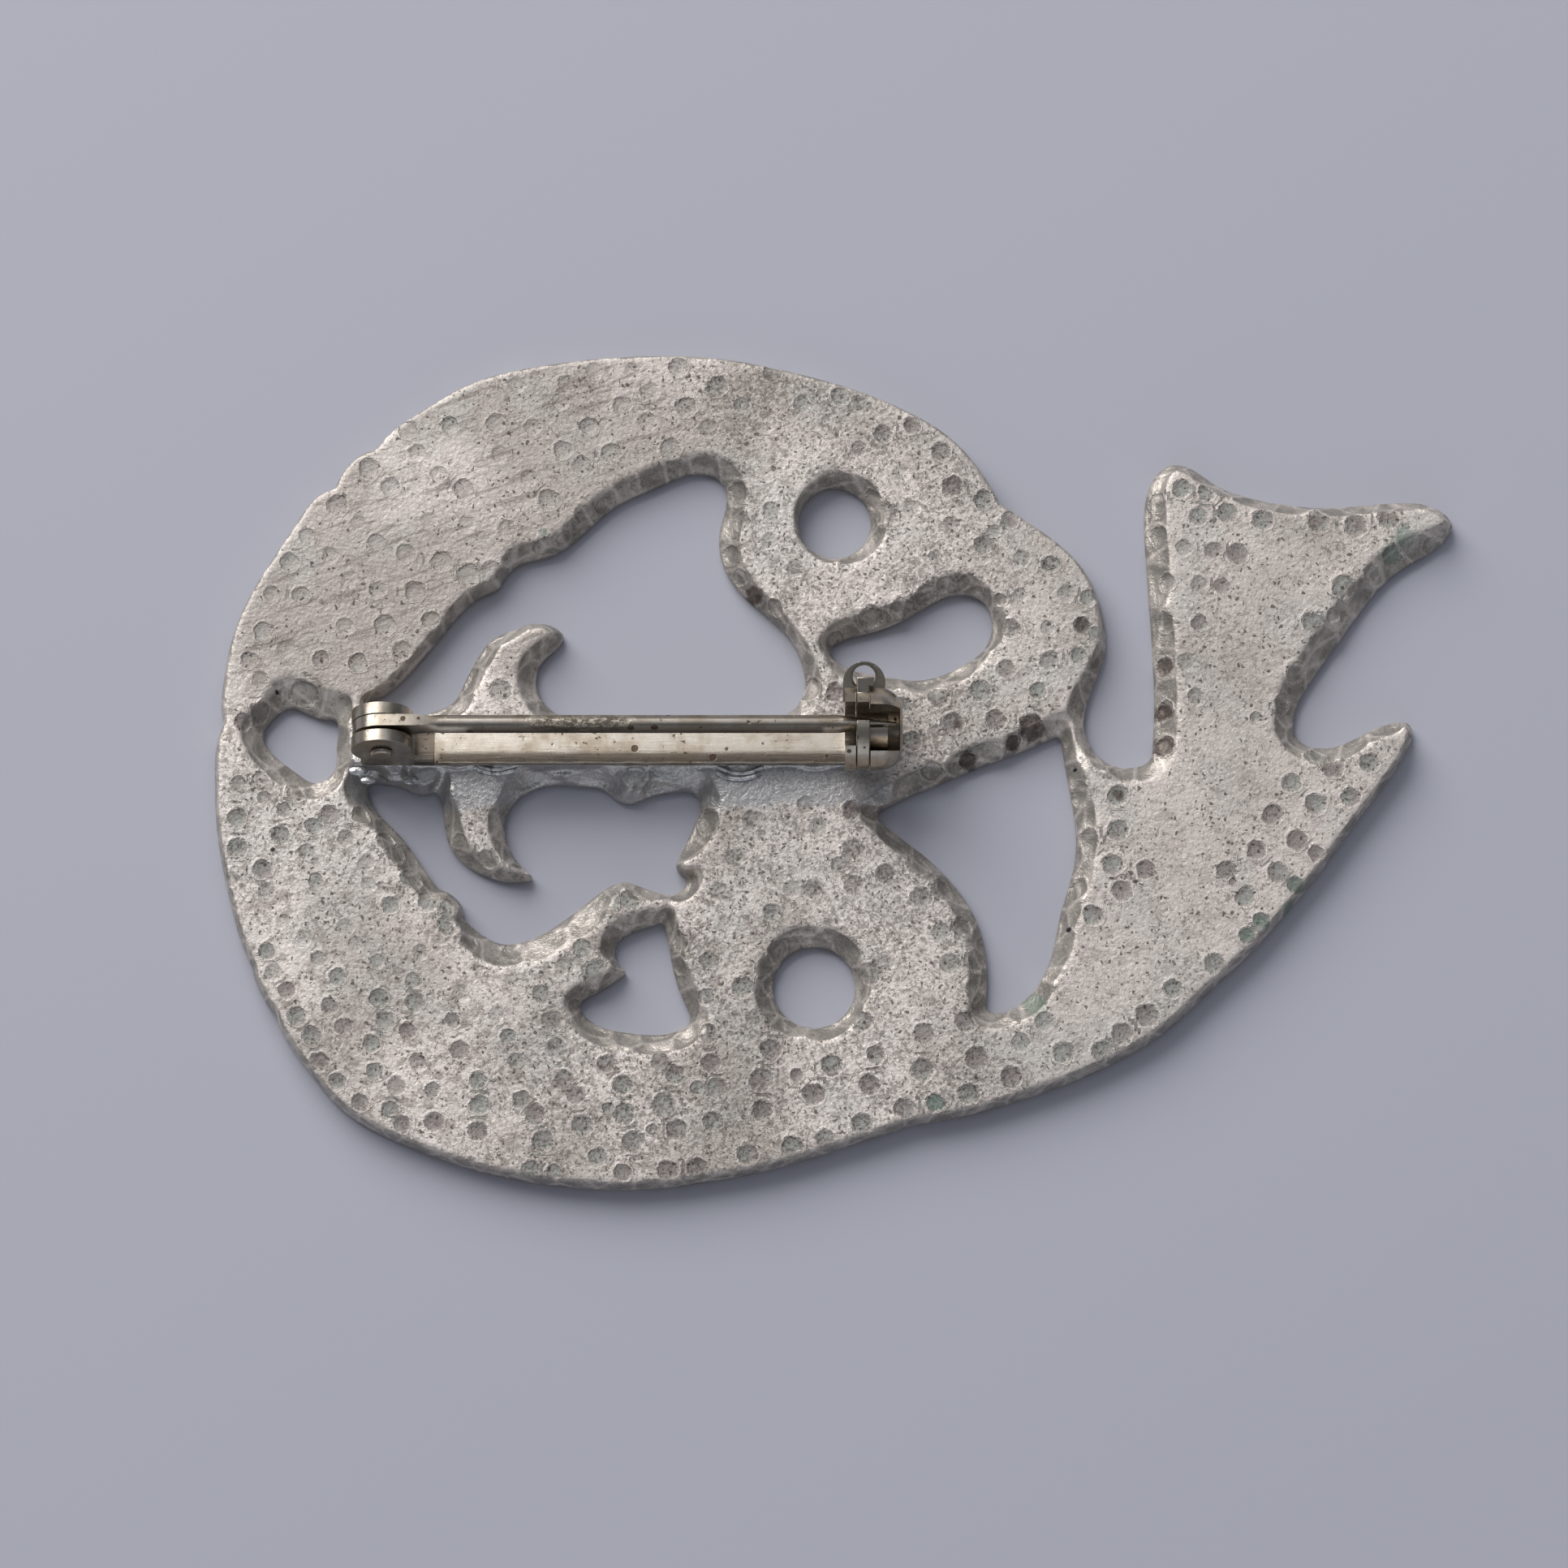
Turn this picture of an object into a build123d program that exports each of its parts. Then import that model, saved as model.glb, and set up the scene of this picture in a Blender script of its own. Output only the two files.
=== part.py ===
from build123d import *
import math
import os

# A pierced pewter brooch that lies on its flat front, so its back and its pin are uppermost.
# Millimetres. +X is the length of the plate, towards the fish tail, +Y is its width and +Z is up.
# The origin is at the middle of the plate's box, on the surface that it lies on.

# Driving dimensions: the cast plate
plate_length = 72.9
plate_width = 49.85
plate_thickness = 1.8
wall_height = 0.6
rim_bevel = 1.1
narrow_share = 0.8
bevel_slope = 0.6
longest_mitre = 1.5
overcut = 1.0
upper_eye_radius = 2.15
upper_eye_flare = 0.6
upper_eye_shift = 0.4
lower_eye_radius = 2.4
lower_eye_flare = 1.0
lower_eye_shift = -0.12

# Driving dimensions: the pin back as a whole, which leans with its top towards +Y
finding_length = 32.0
bar_width = 2.4
bar_lean = 9.0
bar_lift = 0.24
hinge_inset = 1.05
part_gap = 0.04
running_gap = 0.05

# Driving dimensions: the base bar
strip_thickness = 0.42
rim_height = 0.68
crown_height = 0.9
crown_flat = 1.04
crown_edge = 0.1
wall_thickness = 0.28
root_height = 1.0
ear_radius = 1.785
ear_thickness = 0.72
pivot_height = 2.34
panel_gap = 0.1
panel_length = 1.05
tongue_inset = 0.75
neck_half_width = 1.3
shoulder_drop = 0.65

# Driving dimensions: the rivet and the pin
rivet_radius = 0.45
rivet_head_radius = 0.64
rivet_head_height = 0.28
rivet_head_round = 0.2
eye_radius = 1.72
eye_thickness = 0.7
eye_offset = 0.09
wire_radius = 0.525
wire_rise = 1.01
shank_start = 1.9
shank_length = 1.5
point_length = 3.3
point_radius = 0.1
point_gap = 0.36

# Driving dimensions: the safety catch
view_lean = 21.0
housing_radius = 2.4
housing_height = 3.2
housing_offset = -0.18
cheek_width = 0.61
ring_slot = 0.85
nose_length = 1.87
nose_fillet = 1.3
nose_wall = 0.16
cheek_bore = 1.0
mouth_depth = 0.96
ring_radius = 2.3
ring_bore = 0.9
sleeve_radius = 1.2
sleeve_length = 1.1
loop_radius = 1.225
loop_shift = 1.11
loop_hole = 0.66
loop_hole_reach = 3.06
loop_step_radius = 0.8
loop_step = 0.2
loop_reach = 2.71
loop_thickness = 1.2
loop_top = 0.3
loop_root = 1.6
tab_width = 1.0
tab_height = 0.53
tab_thickness = 0.6
tab_gap = 0.07
tab_root = 1.84
ring_gap_side = 0.06
saddle_height = 0.85
nose_pin_relief = 0.17

# Driving dimensions: the solder
bed_half_width = 1.12
bed_flare = 0.2
bed_foot = 0.55
puddle_radius = 0.95
puddle_top_radius = 0.5
puddle_height = 0.16

# Outline tables. Each table is a list of stretches, and a stretch runs smoothly from one sharp
# corner to the next stretch's first row. The columns are:
#   x share and y share, in hundredths of the figure's own length and width,
#   bevel share, of rim_bevel, the slope between the front outline and the back face there.
figure_edge = [
    [
        (0.4, 55.1, 0.2), (0.2, 56.4, 0.2), (0.3, 60.0, 0.2), (0.85, 65.0, 0.2),
        (2.1, 70.0, 0.2), (4.05, 75.0, 0.2), (6.2, 80.0, 0.2), (7.8, 82.9, 0.2),
    ],
    [(9.1, 83.6, 0.2), (9.3, 84.6, 0.2), (10.0, 86.3, 0.2), (10.9, 87.6, 0.2)],
    [
        (12.35, 88.4, 0.2), (12.9, 89.6, 0.2), (16.0, 93.2, 0.2), (19.9, 96.6, 0.2),
        (25.0, 98.7, 0.2), (30.0, 99.75, 0.2), (36.5, 100.15, 0.2), (41.0, 99.75, 0.2),
        (45.0, 98.65, 0.2), (50.0, 96.75, 0.2), (56.0, 93.25, 0.2), (59.8, 89.55, 0.2),
        (62.7, 84.05, 0.2),
    ],
    [
        (63.5, 81.8, 0.2), (67.0, 78.3, 0.2), (70.4, 73.35, 0.2), (71.65, 68.65, 0.3),
        (71.8, 63.6, 0.5), (70.6, 58.7, 0.9), (70.1, 55.15, 1.0), (70.8, 51.9, 1.05),
        (72.5, 50.0, 1.05), (74.3, 49.9, 1.1), (75.3, 50.6, 1.15), (75.65, 52.6, 1.2),
        (75.8, 58.2, 1.2), (75.7, 63.45, 1.2), (75.4, 71.8, 1.2), (75.15, 79.1, 1.1),
        (75.3, 82.55, 0.9), (76.0, 85.2, 0.7), (77.4, 86.85, 0.6), (79.3, 86.2, 0.7),
        (80.9, 84.5, 0.7), (83.6, 82.9, 0.7), (86.8, 81.9, 0.7), (90.5, 81.6, 0.7),
        (95.2, 82.15, 0.7), (98.1, 81.95, 0.6), (99.6, 80.9, 0.5),
    ],
    [
        (100.35, 79.2, 0.4), (99.05, 76.8, 0.9), (96.0, 74.0, 1.25), (92.75, 69.05, 1.3),
        (90.15, 63.7, 1.3), (87.9, 58.95, 1.2), (87.1, 56.2, 1.1), (87.3, 53.4, 1.1),
        (88.9, 52.2, 1.1), (91.25, 52.8, 0.9), (93.75, 54.65, 0.7), (95.2, 55.3, 0.6),
        (96.3, 55.25, 0.4), (96.7, 53.9, 0.3), (96.3, 52.2, 0.2), (95.05, 49.15, 0.2),
        (92.15, 43.55, 0.2), (89.1, 37.35, 0.25), (86.2, 32.2, 0.25), (83.3, 27.5, 0.25),
        (79.4, 22.2, 0.25), (77.1, 19.0, 0.25), (73.35, 15.3, 0.25), (69.4, 12.5, 0.25),
        (64.55, 9.9, 0.25), (59.9, 8.0, 0.2), (56.8, 7.2, 0.2),
    ],
    [
        (55.6, 6.95, 0.2), (54.6, 6.35, 0.2), (52.3, 5.25, 0.2), (48.95, 3.6, 0.2),
        (45.0, 1.9, 0.2), (40.0, 0.4, 0.2), (35.5, -0.45, 0.2), (32.0, -0.6, 0.2),
        (28.0, -0.2, 0.2), (23.35, 0.9, 0.2), (20.0, 2.2, 0.2), (15.05, 4.95, 0.2),
        (12.25, 6.95, 0.2), (9.9, 9.5, 0.2), (7.9, 13.0, 0.2), (5.9, 17.0, 0.2),
    ],
    [(4.85, 20.4, 0.2), (4.3, 21.25, 0.2), (3.75, 22.85, 0.2), (3.2, 24.5, 0.2)],
    [
        (3.15, 25.45, 0.2), (2.15, 28.65, 0.2), (1.35, 32.5, 0.2), (0.45, 38.2, 0.2),
        (-0.1, 43.5, 0.2), (-0.25, 48.5, 0.2), (-0.2, 52.0, 0.2),
    ],
]
upper_opening = [
    [
        (12.1, 57.6, 0.3), (14.25, 59.6, 0.3), (16.3, 62.8, 0.3), (18.25, 66.4, 0.35),
        (20.25, 69.7, 0.4),
    ],
    [
        (21.5, 70.9, 0.4), (22.9, 72.35, 0.5), (23.4, 73.6, 0.6), (25.0, 75.0, 0.7),
        (26.75, 75.65, 0.75), (29.9, 79.1, 0.8), (32.6, 82.3, 0.85), (35.65, 84.3, 0.85),
        (38.0, 85.7, 0.8), (39.35, 85.75, 0.8), (40.5, 85.0, 0.9), (41.1, 82.8, 1.1),
        (40.6, 79.1, 1.15), (40.6, 75.65, 1.1), (41.8, 71.95, 0.9), (44.2, 68.55, 0.6),
        (46.15, 65.75, 0.4), (47.25, 62.4, 0.6), (47.4, 58.9, 0.9), (46.4, 56.7, 0.95),
    ],
    [(45.0, 55.7, 1.0), (36.5, 55.75, 1.0)],
    [
        (28.5, 55.8, 1.0), (26.8, 56.95, 1.0), (25.8, 59.2, 1.0), (25.95, 62.2, 0.9),
        (27.3, 64.3, 0.6),
    ],
    [
        (27.95, 65.75, 0.45), (26.95, 67.05, 0.45), (25.6, 67.4, 0.5), (23.85, 66.65, 0.7),
        (21.95, 65.25, 0.9), (20.65, 62.45, 1.0), (19.85, 60.1, 1.0), (19.1, 57.95, 1.0),
        (17.9, 56.85, 1.0),
    ],
    [(16.05, 56.05, 1.0), (14.3, 55.9, 0.9)],
    [(12.5, 56.0, 0.6)],
]
lower_opening = [
    [(12.15, 47.9, 1.0), (13.5, 47.85, 1.0), (14.85, 47.45, 1.0), (15.8, 46.8, 1.0)],
    [
        (17.55, 46.95, 1.0), (18.1, 45.4, 0.9), (18.45, 42.15, 0.9), (19.1, 39.6, 0.9),
        (20.5, 37.7, 0.8), (22.6, 36.3, 0.6), (24.4, 35.95, 0.5),
    ],
    [
        (25.7, 36.5, 0.4), (24.3, 38.4, 0.6), (23.35, 41.2, 0.8), (23.35, 43.9, 0.9),
        (24.75, 46.5, 1.0), (27.1, 47.7, 1.0), (29.6, 47.5, 1.0), (31.1, 47.2, 1.0),
        (32.2, 45.95, 1.0), (33.3, 45.45, 1.0), (34.8, 46.2, 1.0), (37.1, 46.9, 1.0),
        (38.5, 46.7, 1.0), (39.0, 45.3, 1.1), (38.7, 43.4, 1.25), (37.7, 40.15, 1.25),
    ],
    [(37.0, 38.0, 1.2), (37.35, 37.1, 1.1)],
    [
        (38.0, 36.7, 1.0), (37.75, 35.4, 0.8), (37.05, 34.55, 0.7), (35.4, 34.85, 0.7),
        (33.9, 35.65, 0.9), (33.0, 36.05, 1.1), (32.05, 35.7, 1.3), (30.05, 33.65, 1.45),
        (27.55, 30.85, 1.5), (25.0, 28.9, 1.5), (23.1, 28.6, 1.45), (21.3, 29.9, 1.3),
    ],
    [(19.9, 31.6, 1.2), (19.95, 32.6, 1.2), (19.0, 34.5, 1.15)],
    [(17.9, 35.2, 1.1), (16.45, 38.2, 1.1), (14.6, 41.9, 1.1), (12.55, 45.15, 1.1)],
]
left_hole = [
    [
        (9.4, 55.85, 1.2), (7.4, 56.25, 1.5), (5.6, 57.05, 1.45), (4.35, 55.7, 1.2),
        (3.6, 53.8, 1.1), (4.05, 52.05, 1.1), (5.3, 50.3, 1.15), (6.6, 48.9, 1.2),
        (7.85, 47.95, 1.1), (9.05, 48.8, 0.9), (9.6, 50.4, 0.7), (9.55, 52.0, 0.7),
        (9.7, 54.2, 0.7),
    ],
]
leaf_hole = [
    [
        (49.5, 64.4, 0.5), (50.55, 65.4, 0.8), (52.45, 66.15, 0.9), (55.3, 67.65, 0.9),
        (57.65, 69.7, 0.9), (60.0, 70.95, 0.85), (62.0, 69.95, 0.65), (62.7, 67.5, 0.65),
        (61.9, 64.0, 0.7), (60.1, 62.1, 0.9), (58.1, 60.8, 1.0), (56.05, 60.45, 1.0),
        (54.05, 60.9, 1.0), (50.95, 61.95, 0.9), (49.85, 63.05, 0.6),
    ],
]
heart_hole = [
    [
        (36.05, 31.35, 0.7), (36.45, 28.65, 0.7), (37.05, 24.5, 0.8), (37.9, 21.25, 0.9),
        (38.25, 19.4, 1.0), (37.05, 18.1, 1.2), (34.9, 17.75, 1.25), (32.25, 18.2, 1.2),
        (30.05, 19.6, 1.0), (29.35, 21.2, 0.8), (30.55, 22.6, 0.7), (31.9, 23.8, 0.6),
    ],
    [
        (33.1, 25.2, 0.5), (32.35, 26.45, 0.7), (32.2, 28.2, 0.7), (33.4, 29.9, 0.7),
        (34.9, 30.65, 0.7),
    ],
]
horn_hole = [
    [
        (53.1, 44.2, 0.8), (55.05, 45.8, 1.0), (58.4, 47.9, 1.0), (61.8, 50.0, 1.0),
        (65.0, 51.8, 1.0), (67.3, 53.3, 1.0),
    ],
    [
        (68.15, 53.85, 0.9), (68.4, 51.1, 1.0), (68.9, 46.9, 1.05), (69.35, 41.4, 1.05),
        (69.1, 37.45, 1.05), (68.1, 32.5, 1.05), (67.3, 27.2, 1.0), (66.15, 23.6, 1.0),
        (64.45, 21.15, 1.0), (62.8, 20.3, 1.0),
    ],
    [
        (61.9, 20.8, 0.9), (62.1, 24.2, 1.0), (61.75, 29.2, 1.0), (60.9, 32.5, 1.0),
        (59.0, 36.4, 1.0), (56.65, 39.7, 1.0), (54.6, 42.0, 0.9),
    ],
]
openings = [upper_opening, lower_opening, left_hole, leaf_hole, heart_hole, horn_hole]

# Round eyes of the figure: x share and y share of the middle, radius, flare and shift at the back
round_eyes = [
    (49.9, 79.7, upper_eye_radius, upper_eye_flare, upper_eye_shift),
    (48.2, 23.4, lower_eye_radius, lower_eye_flare, lower_eye_shift),
]

# The strut that carries the pin back: the shares of its left end and of its two long edges
strut_left = 12.1
strut_low = 47.8
strut_high = 55.7

# Solder puddles beside the bar: x share of finding_length from the hinge, and side, -1 is -Y
puddles = [(0.02, -1.0), (0.215, -1.0), (0.645, -1.0), (0.0, 1.0)]

edge_rows = [row for stretch in figure_edge for row in stretch]
left_share = min(row[0] for row in edge_rows)
right_share = max(row[0] for row in edge_rows)
low_share = min(row[1] for row in edge_rows)
high_share = max(row[1] for row in edge_rows)


def place(x_share, y_share):
    """The plate's place in millimetres of a row of the outline tables."""
    x = ((x_share - left_share) / (right_share - left_share) - 0.5) * plate_length
    y = ((y_share - low_share) / (high_share - low_share) - 0.5) * plate_width
    return Vector(x, y)


def signed_area(points):
    """Twice the area inside a ring of points, negative where it runs clockwise."""
    pairs = zip(points, points[1:] + points[:1])
    return sum(a.X * b.Y - b.X * a.Y for a, b in pairs)


def side_normal(a, b, side):
    """The unit vector square to the run from a to b, to its left where side is 1."""
    run = (b - a).normalized()
    return Vector(-run.Y * side, run.X * side)


def bevel_room(points, middles, i, corner, inward, wanted):
    """The bevel at point i, less where the metal is too narrow for the one that is wanted."""
    count = len(points)
    near = {i, (i + 1) % count, (i - 1) % count} if corner else {i}
    beside = {i, (i - 1) % count} if corner else set()
    others = [points[j] for j in range(count) if j not in near]
    others += [middles[j] for j in range(count) if j not in beside]
    room = wanted
    for other in others:
        reach = other - points[i]
        ahead = reach.dot(inward)
        if ahead > 0.0:
            room = min(room, narrow_share * reach.length ** 2 / (2.0 * ahead))
    return room


def eased(widths, points):
    """The bevel widths with no sudden step from one point to the next, either way round."""
    count = len(points)
    for order in (range(count), range(count - 1, -1, -1)) * 2:
        for i in order:
            j = (i - order.step) % count
            apart = (points[i] - points[j]).length
            widths[i] = min(widths[i], widths[j] + bevel_slope * apart)
    return widths


def bevelled(stretches, into_ring):
    """The back-face points of an outline, set into the metal by each row's bevel."""
    rows = [row for stretch in stretches for row in stretch]
    corners = [index == 0 for stretch in stretches for index in range(len(stretch))]
    points = front_points(stretches)
    anticlockwise = signed_area(points) > 0.0
    side = 1.0 if anticlockwise == into_ring else -1.0
    following = points[1:] + points[:1]
    middles = [(a + b) * 0.5 for a, b in zip(points, following)]
    normals = []
    widths = []
    for i, point in enumerate(points):
        before = side_normal(points[i - 1], point, side)
        after = side_normal(point, following[i], side)
        inward = (before + after).normalized()
        mitre = 1.0 / max(inward.dot(before), 1.0 / longest_mitre) if corners[i] else 1.0
        wanted = rows[i][2] * rim_bevel
        normals.append(inward * mitre)
        widths.append(bevel_room(points, middles, i, corners[i], inward, wanted))
    widths = eased(widths, points)
    return [point + normal * width for point, normal, width in zip(points, normals, widths)]


def front_points(stretches):
    """The front-outline points of a table."""
    return [place(row[0], row[1]) for stretch in stretches for row in stretch]


def outline(height, stretches, points):
    """A flat face at a height, smooth between the corners of the table."""
    ends = points[1:] + points[:1]
    start = 0
    with BuildLine() as ring:
        for stretch in stretches:
            run = points[start:start + len(stretch)]
            run.append(ends[start + len(stretch) - 1])
            if len(run) == 2:
                Line(run[0], run[1])
            else:
                Spline(*run)
            start += len(stretch)
    with BuildSketch(Plane.XY.offset(height)) as shape:
        make_face(ring.edges())
    return shape.sketch


def round_outline(height, middle, radius):
    """A round flat face at a height."""
    with BuildSketch(Plane.XY.offset(height)) as shape:
        with Locations(middle):
            Circle(radius)
    return shape.sketch


def cut_opening(low_front, high_front, low_back):
    """Cuts one opening through the active part: straight at the front, wider at the back."""
    extrude(low_front, amount=overcut + wall_height, dir=(0, 0, 1), mode=Mode.SUBTRACT)
    loft([high_front, low_back], ruled=True, mode=Mode.SUBTRACT)
    extrude(low_back, amount=overcut, dir=(0, 0, 1), mode=Mode.SUBTRACT)


# The pin back's own frame: local x along the bar, local v across it and local w away from it
lean = math.radians(bar_lean)
along = Vector(1.0, 0.0, 0.0)
across = Vector(0.0, math.cos(lean), -math.sin(lean))
upward = Vector(0.0, math.sin(lean), math.cos(lean))
strut_end = place(strut_left, strut_low)
strut_middle = place(strut_left, (strut_low + strut_high) / 2.0)
hinge_x = strut_end.X + hinge_inset
finding_left = hinge_x - ear_radius
finding_right = finding_left + finding_length
seat = Vector(0.0, strut_middle.Y, plate_thickness + bar_lift)
panel_left = hinge_x + ear_radius + panel_gap
channel_left = panel_left + panel_length
nose_left = finding_right - nose_length
cheek_right = nose_left - ring_slot
cheek_left = cheek_right - cheek_width
tongue_right = finding_right - tongue_inset
ring_middle = cheek_right + ring_slot / 2.0
wire_start = hinge_x + shank_start + shank_length
point_start = finding_right - point_gap - point_length
wire_length = point_start - wire_start


def local(x, v, w):
    """A place in the plate's frame from a place in the pin back's frame."""
    return seat + along * x + across * v + upward * w


def side_plane(v):
    """The plane across which ears and eye are cut, with x along the bar and y away from it."""
    return Plane(origin=local(0.0, v, 0.0), x_dir=along, z_dir=across * -1.0)


def section_plane(x):
    """The plane square to the bar at x, with x across the bar and y away from it."""
    return Plane(origin=local(x, 0.0, 0.0), x_dir=across, z_dir=along)


# The plate
with BuildPart() as plate:
    edge_front = front_points(figure_edge)
    edge_back = bevelled(figure_edge, True)
    extrude(outline(0.0, figure_edge, edge_front), amount=wall_height, dir=(0, 0, 1))
    loft(
        [
            outline(wall_height, figure_edge, edge_front),
            outline(plate_thickness, figure_edge, edge_back),
        ],
        ruled=True,
    )
    for table in openings:
        hole_front = front_points(table)
        hole_back = bevelled(table, False)
        cut_opening(
            outline(-overcut, table, hole_front),
            outline(wall_height, table, hole_front),
            outline(plate_thickness, table, hole_back),
        )
    for x_share, y_share, radius, flare, shift in round_eyes:
        middle = place(x_share, y_share)
        cut_opening(
            round_outline(-overcut, middle, radius),
            round_outline(wall_height, middle, radius),
            round_outline(plate_thickness, middle + Vector(shift, 0.0), radius + flare),
        )
    # The solder bed is a wedge under the leaning bar, and it reaches down into the strut
    bed_plane = Plane(origin=(finding_left + part_gap, 0.0, 0.0), x_dir=(0, 1, 0), z_dir=(1, 0, 0))
    with BuildSketch(bed_plane) as bed:
        low_corner = local(0.0, -bed_half_width, -part_gap)
        high_corner = local(0.0, bed_half_width, -part_gap)
        with BuildLine():
            Polyline(
                (low_corner.Y - bed_flare, plate_thickness - bed_foot),
                (low_corner.Y, low_corner.Z),
                (high_corner.Y, high_corner.Z),
                (high_corner.Y + bed_flare, plate_thickness - bed_foot),
                close=True,
            )
        make_face()
    extrude(bed.sketch, amount=tongue_right - finding_left - 2.0 * part_gap)
    for share, side in puddles:
        spot = local(hinge_x + share * finding_length, side * bar_width / 2.0, 0.0)
        with Locations((spot.X, spot.Y, plate_thickness - bed_foot)):
            Cone(
                puddle_radius,
                puddle_top_radius,
                bed_foot + puddle_height,
                align=(Align.CENTER, Align.CENTER, Align.MIN),
            )
    with BuildSketch(section_plane(finding_left - overcut)) as bar_room:
        with Locations((0.0, -part_gap)):
            Rectangle(
                bar_width + 2.0 * part_gap,
                ear_radius * 2.0,
                align=(Align.CENTER, Align.MIN),
            )
    extrude(bar_room.sketch, amount=finding_length + 2.0 * overcut, mode=Mode.SUBTRACT)
plate.part.label = "plate"

# The base bar: a strip with a crowned channel, two ears at the hinge and a tongue at the catch
with BuildPart() as base_bar:
    with BuildSketch(section_plane(hinge_x - neck_half_width)):
        Rectangle(bar_width, strip_thickness, align=(Align.CENTER, Align.MIN))
    extrude(amount=tongue_right - hinge_x + neck_half_width)
    with BuildSketch(section_plane(channel_left)):
        with BuildLine():
            half = bar_width / 2.0
            Polyline(
                (-half + crown_edge, rim_height),
                (-half, rim_height),
                (-half, 0.0),
                (half, 0.0),
                (half, rim_height),
                (half - crown_edge, rim_height),
            )
            TangentArc(
                (crown_flat / 2.0, crown_height),
                (half - crown_edge, rim_height),
                tangent=(-1.0, 0.0),
            )
            Line((crown_flat / 2.0, crown_height), (-crown_flat / 2.0, crown_height))
            TangentArc(
                (-crown_flat / 2.0, crown_height),
                (-half + crown_edge, rim_height),
                tangent=(-1.0, 0.0),
            )
        make_face()
    extrude(amount=cheek_left - part_gap - channel_left)
    for side in (-1.0, 1.0):
        with BuildSketch(side_plane(side * bar_width / 2.0)):
            with BuildLine():
                Polyline(
                    (hinge_x, 0.0),
                    (channel_left, 0.0),
                    (channel_left, root_height),
                    (panel_left, root_height),
                    (hinge_x + neck_half_width, pivot_height - shoulder_drop),
                    (hinge_x + neck_half_width, root_height),
                    (hinge_x, root_height),
                    close=True,
                )
            make_face()
        extrude(amount=side * wall_thickness)
        with BuildSketch(side_plane(side * bar_width / 2.0)):
            with Locations((hinge_x, pivot_height)):
                Circle(ear_radius)
            with BuildLine():
                Polyline(
                    (hinge_x - neck_half_width, 0.0),
                    (hinge_x + neck_half_width, 0.0),
                    (hinge_x + neck_half_width, pivot_height),
                    (hinge_x - neck_half_width, pivot_height),
                    close=True,
                )
            make_face()
            with Locations((hinge_x, pivot_height)):
                Circle(rivet_radius + part_gap, mode=Mode.SUBTRACT)
        extrude(amount=side * ear_thickness)
base_bar.part.label = "base_bar"

# The hinge rivet
with BuildPart() as hinge_rivet:
    head_face = bar_width / 2.0 + part_gap
    with BuildSketch(side_plane(head_face)):
        with Locations((hinge_x, pivot_height)):
            Circle(rivet_radius)
    extrude(amount=2.0 * head_face)
    for side in (-1.0, 1.0):
        with BuildSketch(side_plane(side * head_face)):
            with Locations((hinge_x, pivot_height)):
                Circle(rivet_head_radius)
        extrude(amount=-side * rivet_head_height)
    rims = hinge_rivet.edges().filter_by(GeomType.CIRCLE).sort_by(SortBy.RADIUS)
    outer_rims = ShapeList([e for e in rims if e.radius > (rivet_radius + rivet_head_radius) / 2.0])
    ends = outer_rims.sort_by(Axis(local(0.0, 0.0, 0.0), across))
    fillet([ends[0], ends[-1]], rivet_head_round)
hinge_rivet.part.label = "hinge_rivet"

# The pin: a flattened eye between the ears, then a round wire that tapers to its point
wire_height = pivot_height + wire_rise
shank_height = 2.0 * (eye_radius - wire_rise)
with BuildPart() as pin:
    with BuildSketch(side_plane(eye_offset + eye_thickness / 2.0)):
        with Locations((hinge_x, pivot_height)):
            Circle(eye_radius)
        with Locations((hinge_x, wire_height)):
            Rectangle(shank_start, shank_height, align=(Align.MIN, Align.CENTER))
        with Locations((hinge_x, pivot_height)):
            Circle(rivet_radius + running_gap, mode=Mode.SUBTRACT)
    extrude(amount=eye_thickness)
    with BuildSketch(section_plane(hinge_x + shank_start)) as shank_end:
        with Locations((eye_offset, wire_height)):
            Rectangle(eye_thickness, shank_height)
    with BuildSketch(section_plane(wire_start)) as wire_end:
        with Locations((eye_offset, wire_height)):
            Circle(wire_radius)
    loft([shank_end.sketch, wire_end.sketch])
    for x, start_radius, end_radius, length in (
        (wire_start, wire_radius, wire_radius, wire_length),
        (point_start, wire_radius, point_radius, point_length),
    ):
        with BuildSketch(section_plane(x)) as near_end:
            with Locations((eye_offset, wire_height)):
                Circle(start_radius)
        with BuildSketch(section_plane(x + length)) as far_end:
            with Locations((eye_offset, wire_height)):
                Circle(end_radius)
        loft([near_end.sketch, far_end.sketch], ruled=True)
pin.part.label = "pin"

# The catch's own frame: y runs out to the loop, and z faces the open mouth
catch_lean = math.radians(view_lean)
outward = across * math.cos(catch_lean) + upward * math.sin(catch_lean)
mouthward = upward * math.cos(catch_lean) - across * math.sin(catch_lean)
catch_middle = local(0.0, housing_offset, housing_height)
loop_x = cheek_left + loop_shift
tab_lift = loop_top + running_gap
tab_left = ring_middle - (ring_slot - 2.0 * running_gap) / 2.0


def catch_plane(lift):
    """The plane of the loop, raised towards the mouth by lift."""
    return Plane(origin=catch_middle + mouthward * lift, x_dir=along, z_dir=mouthward)


def disc(x, radius, length, mode=Mode.ADD):
    """A disc about the catch's axis, from x along the bar."""
    with BuildSketch(section_plane(x)) as face:
        with Locations((housing_offset, housing_height)):
            Circle(radius)
    return extrude(face.sketch, amount=length, mode=mode)


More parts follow.
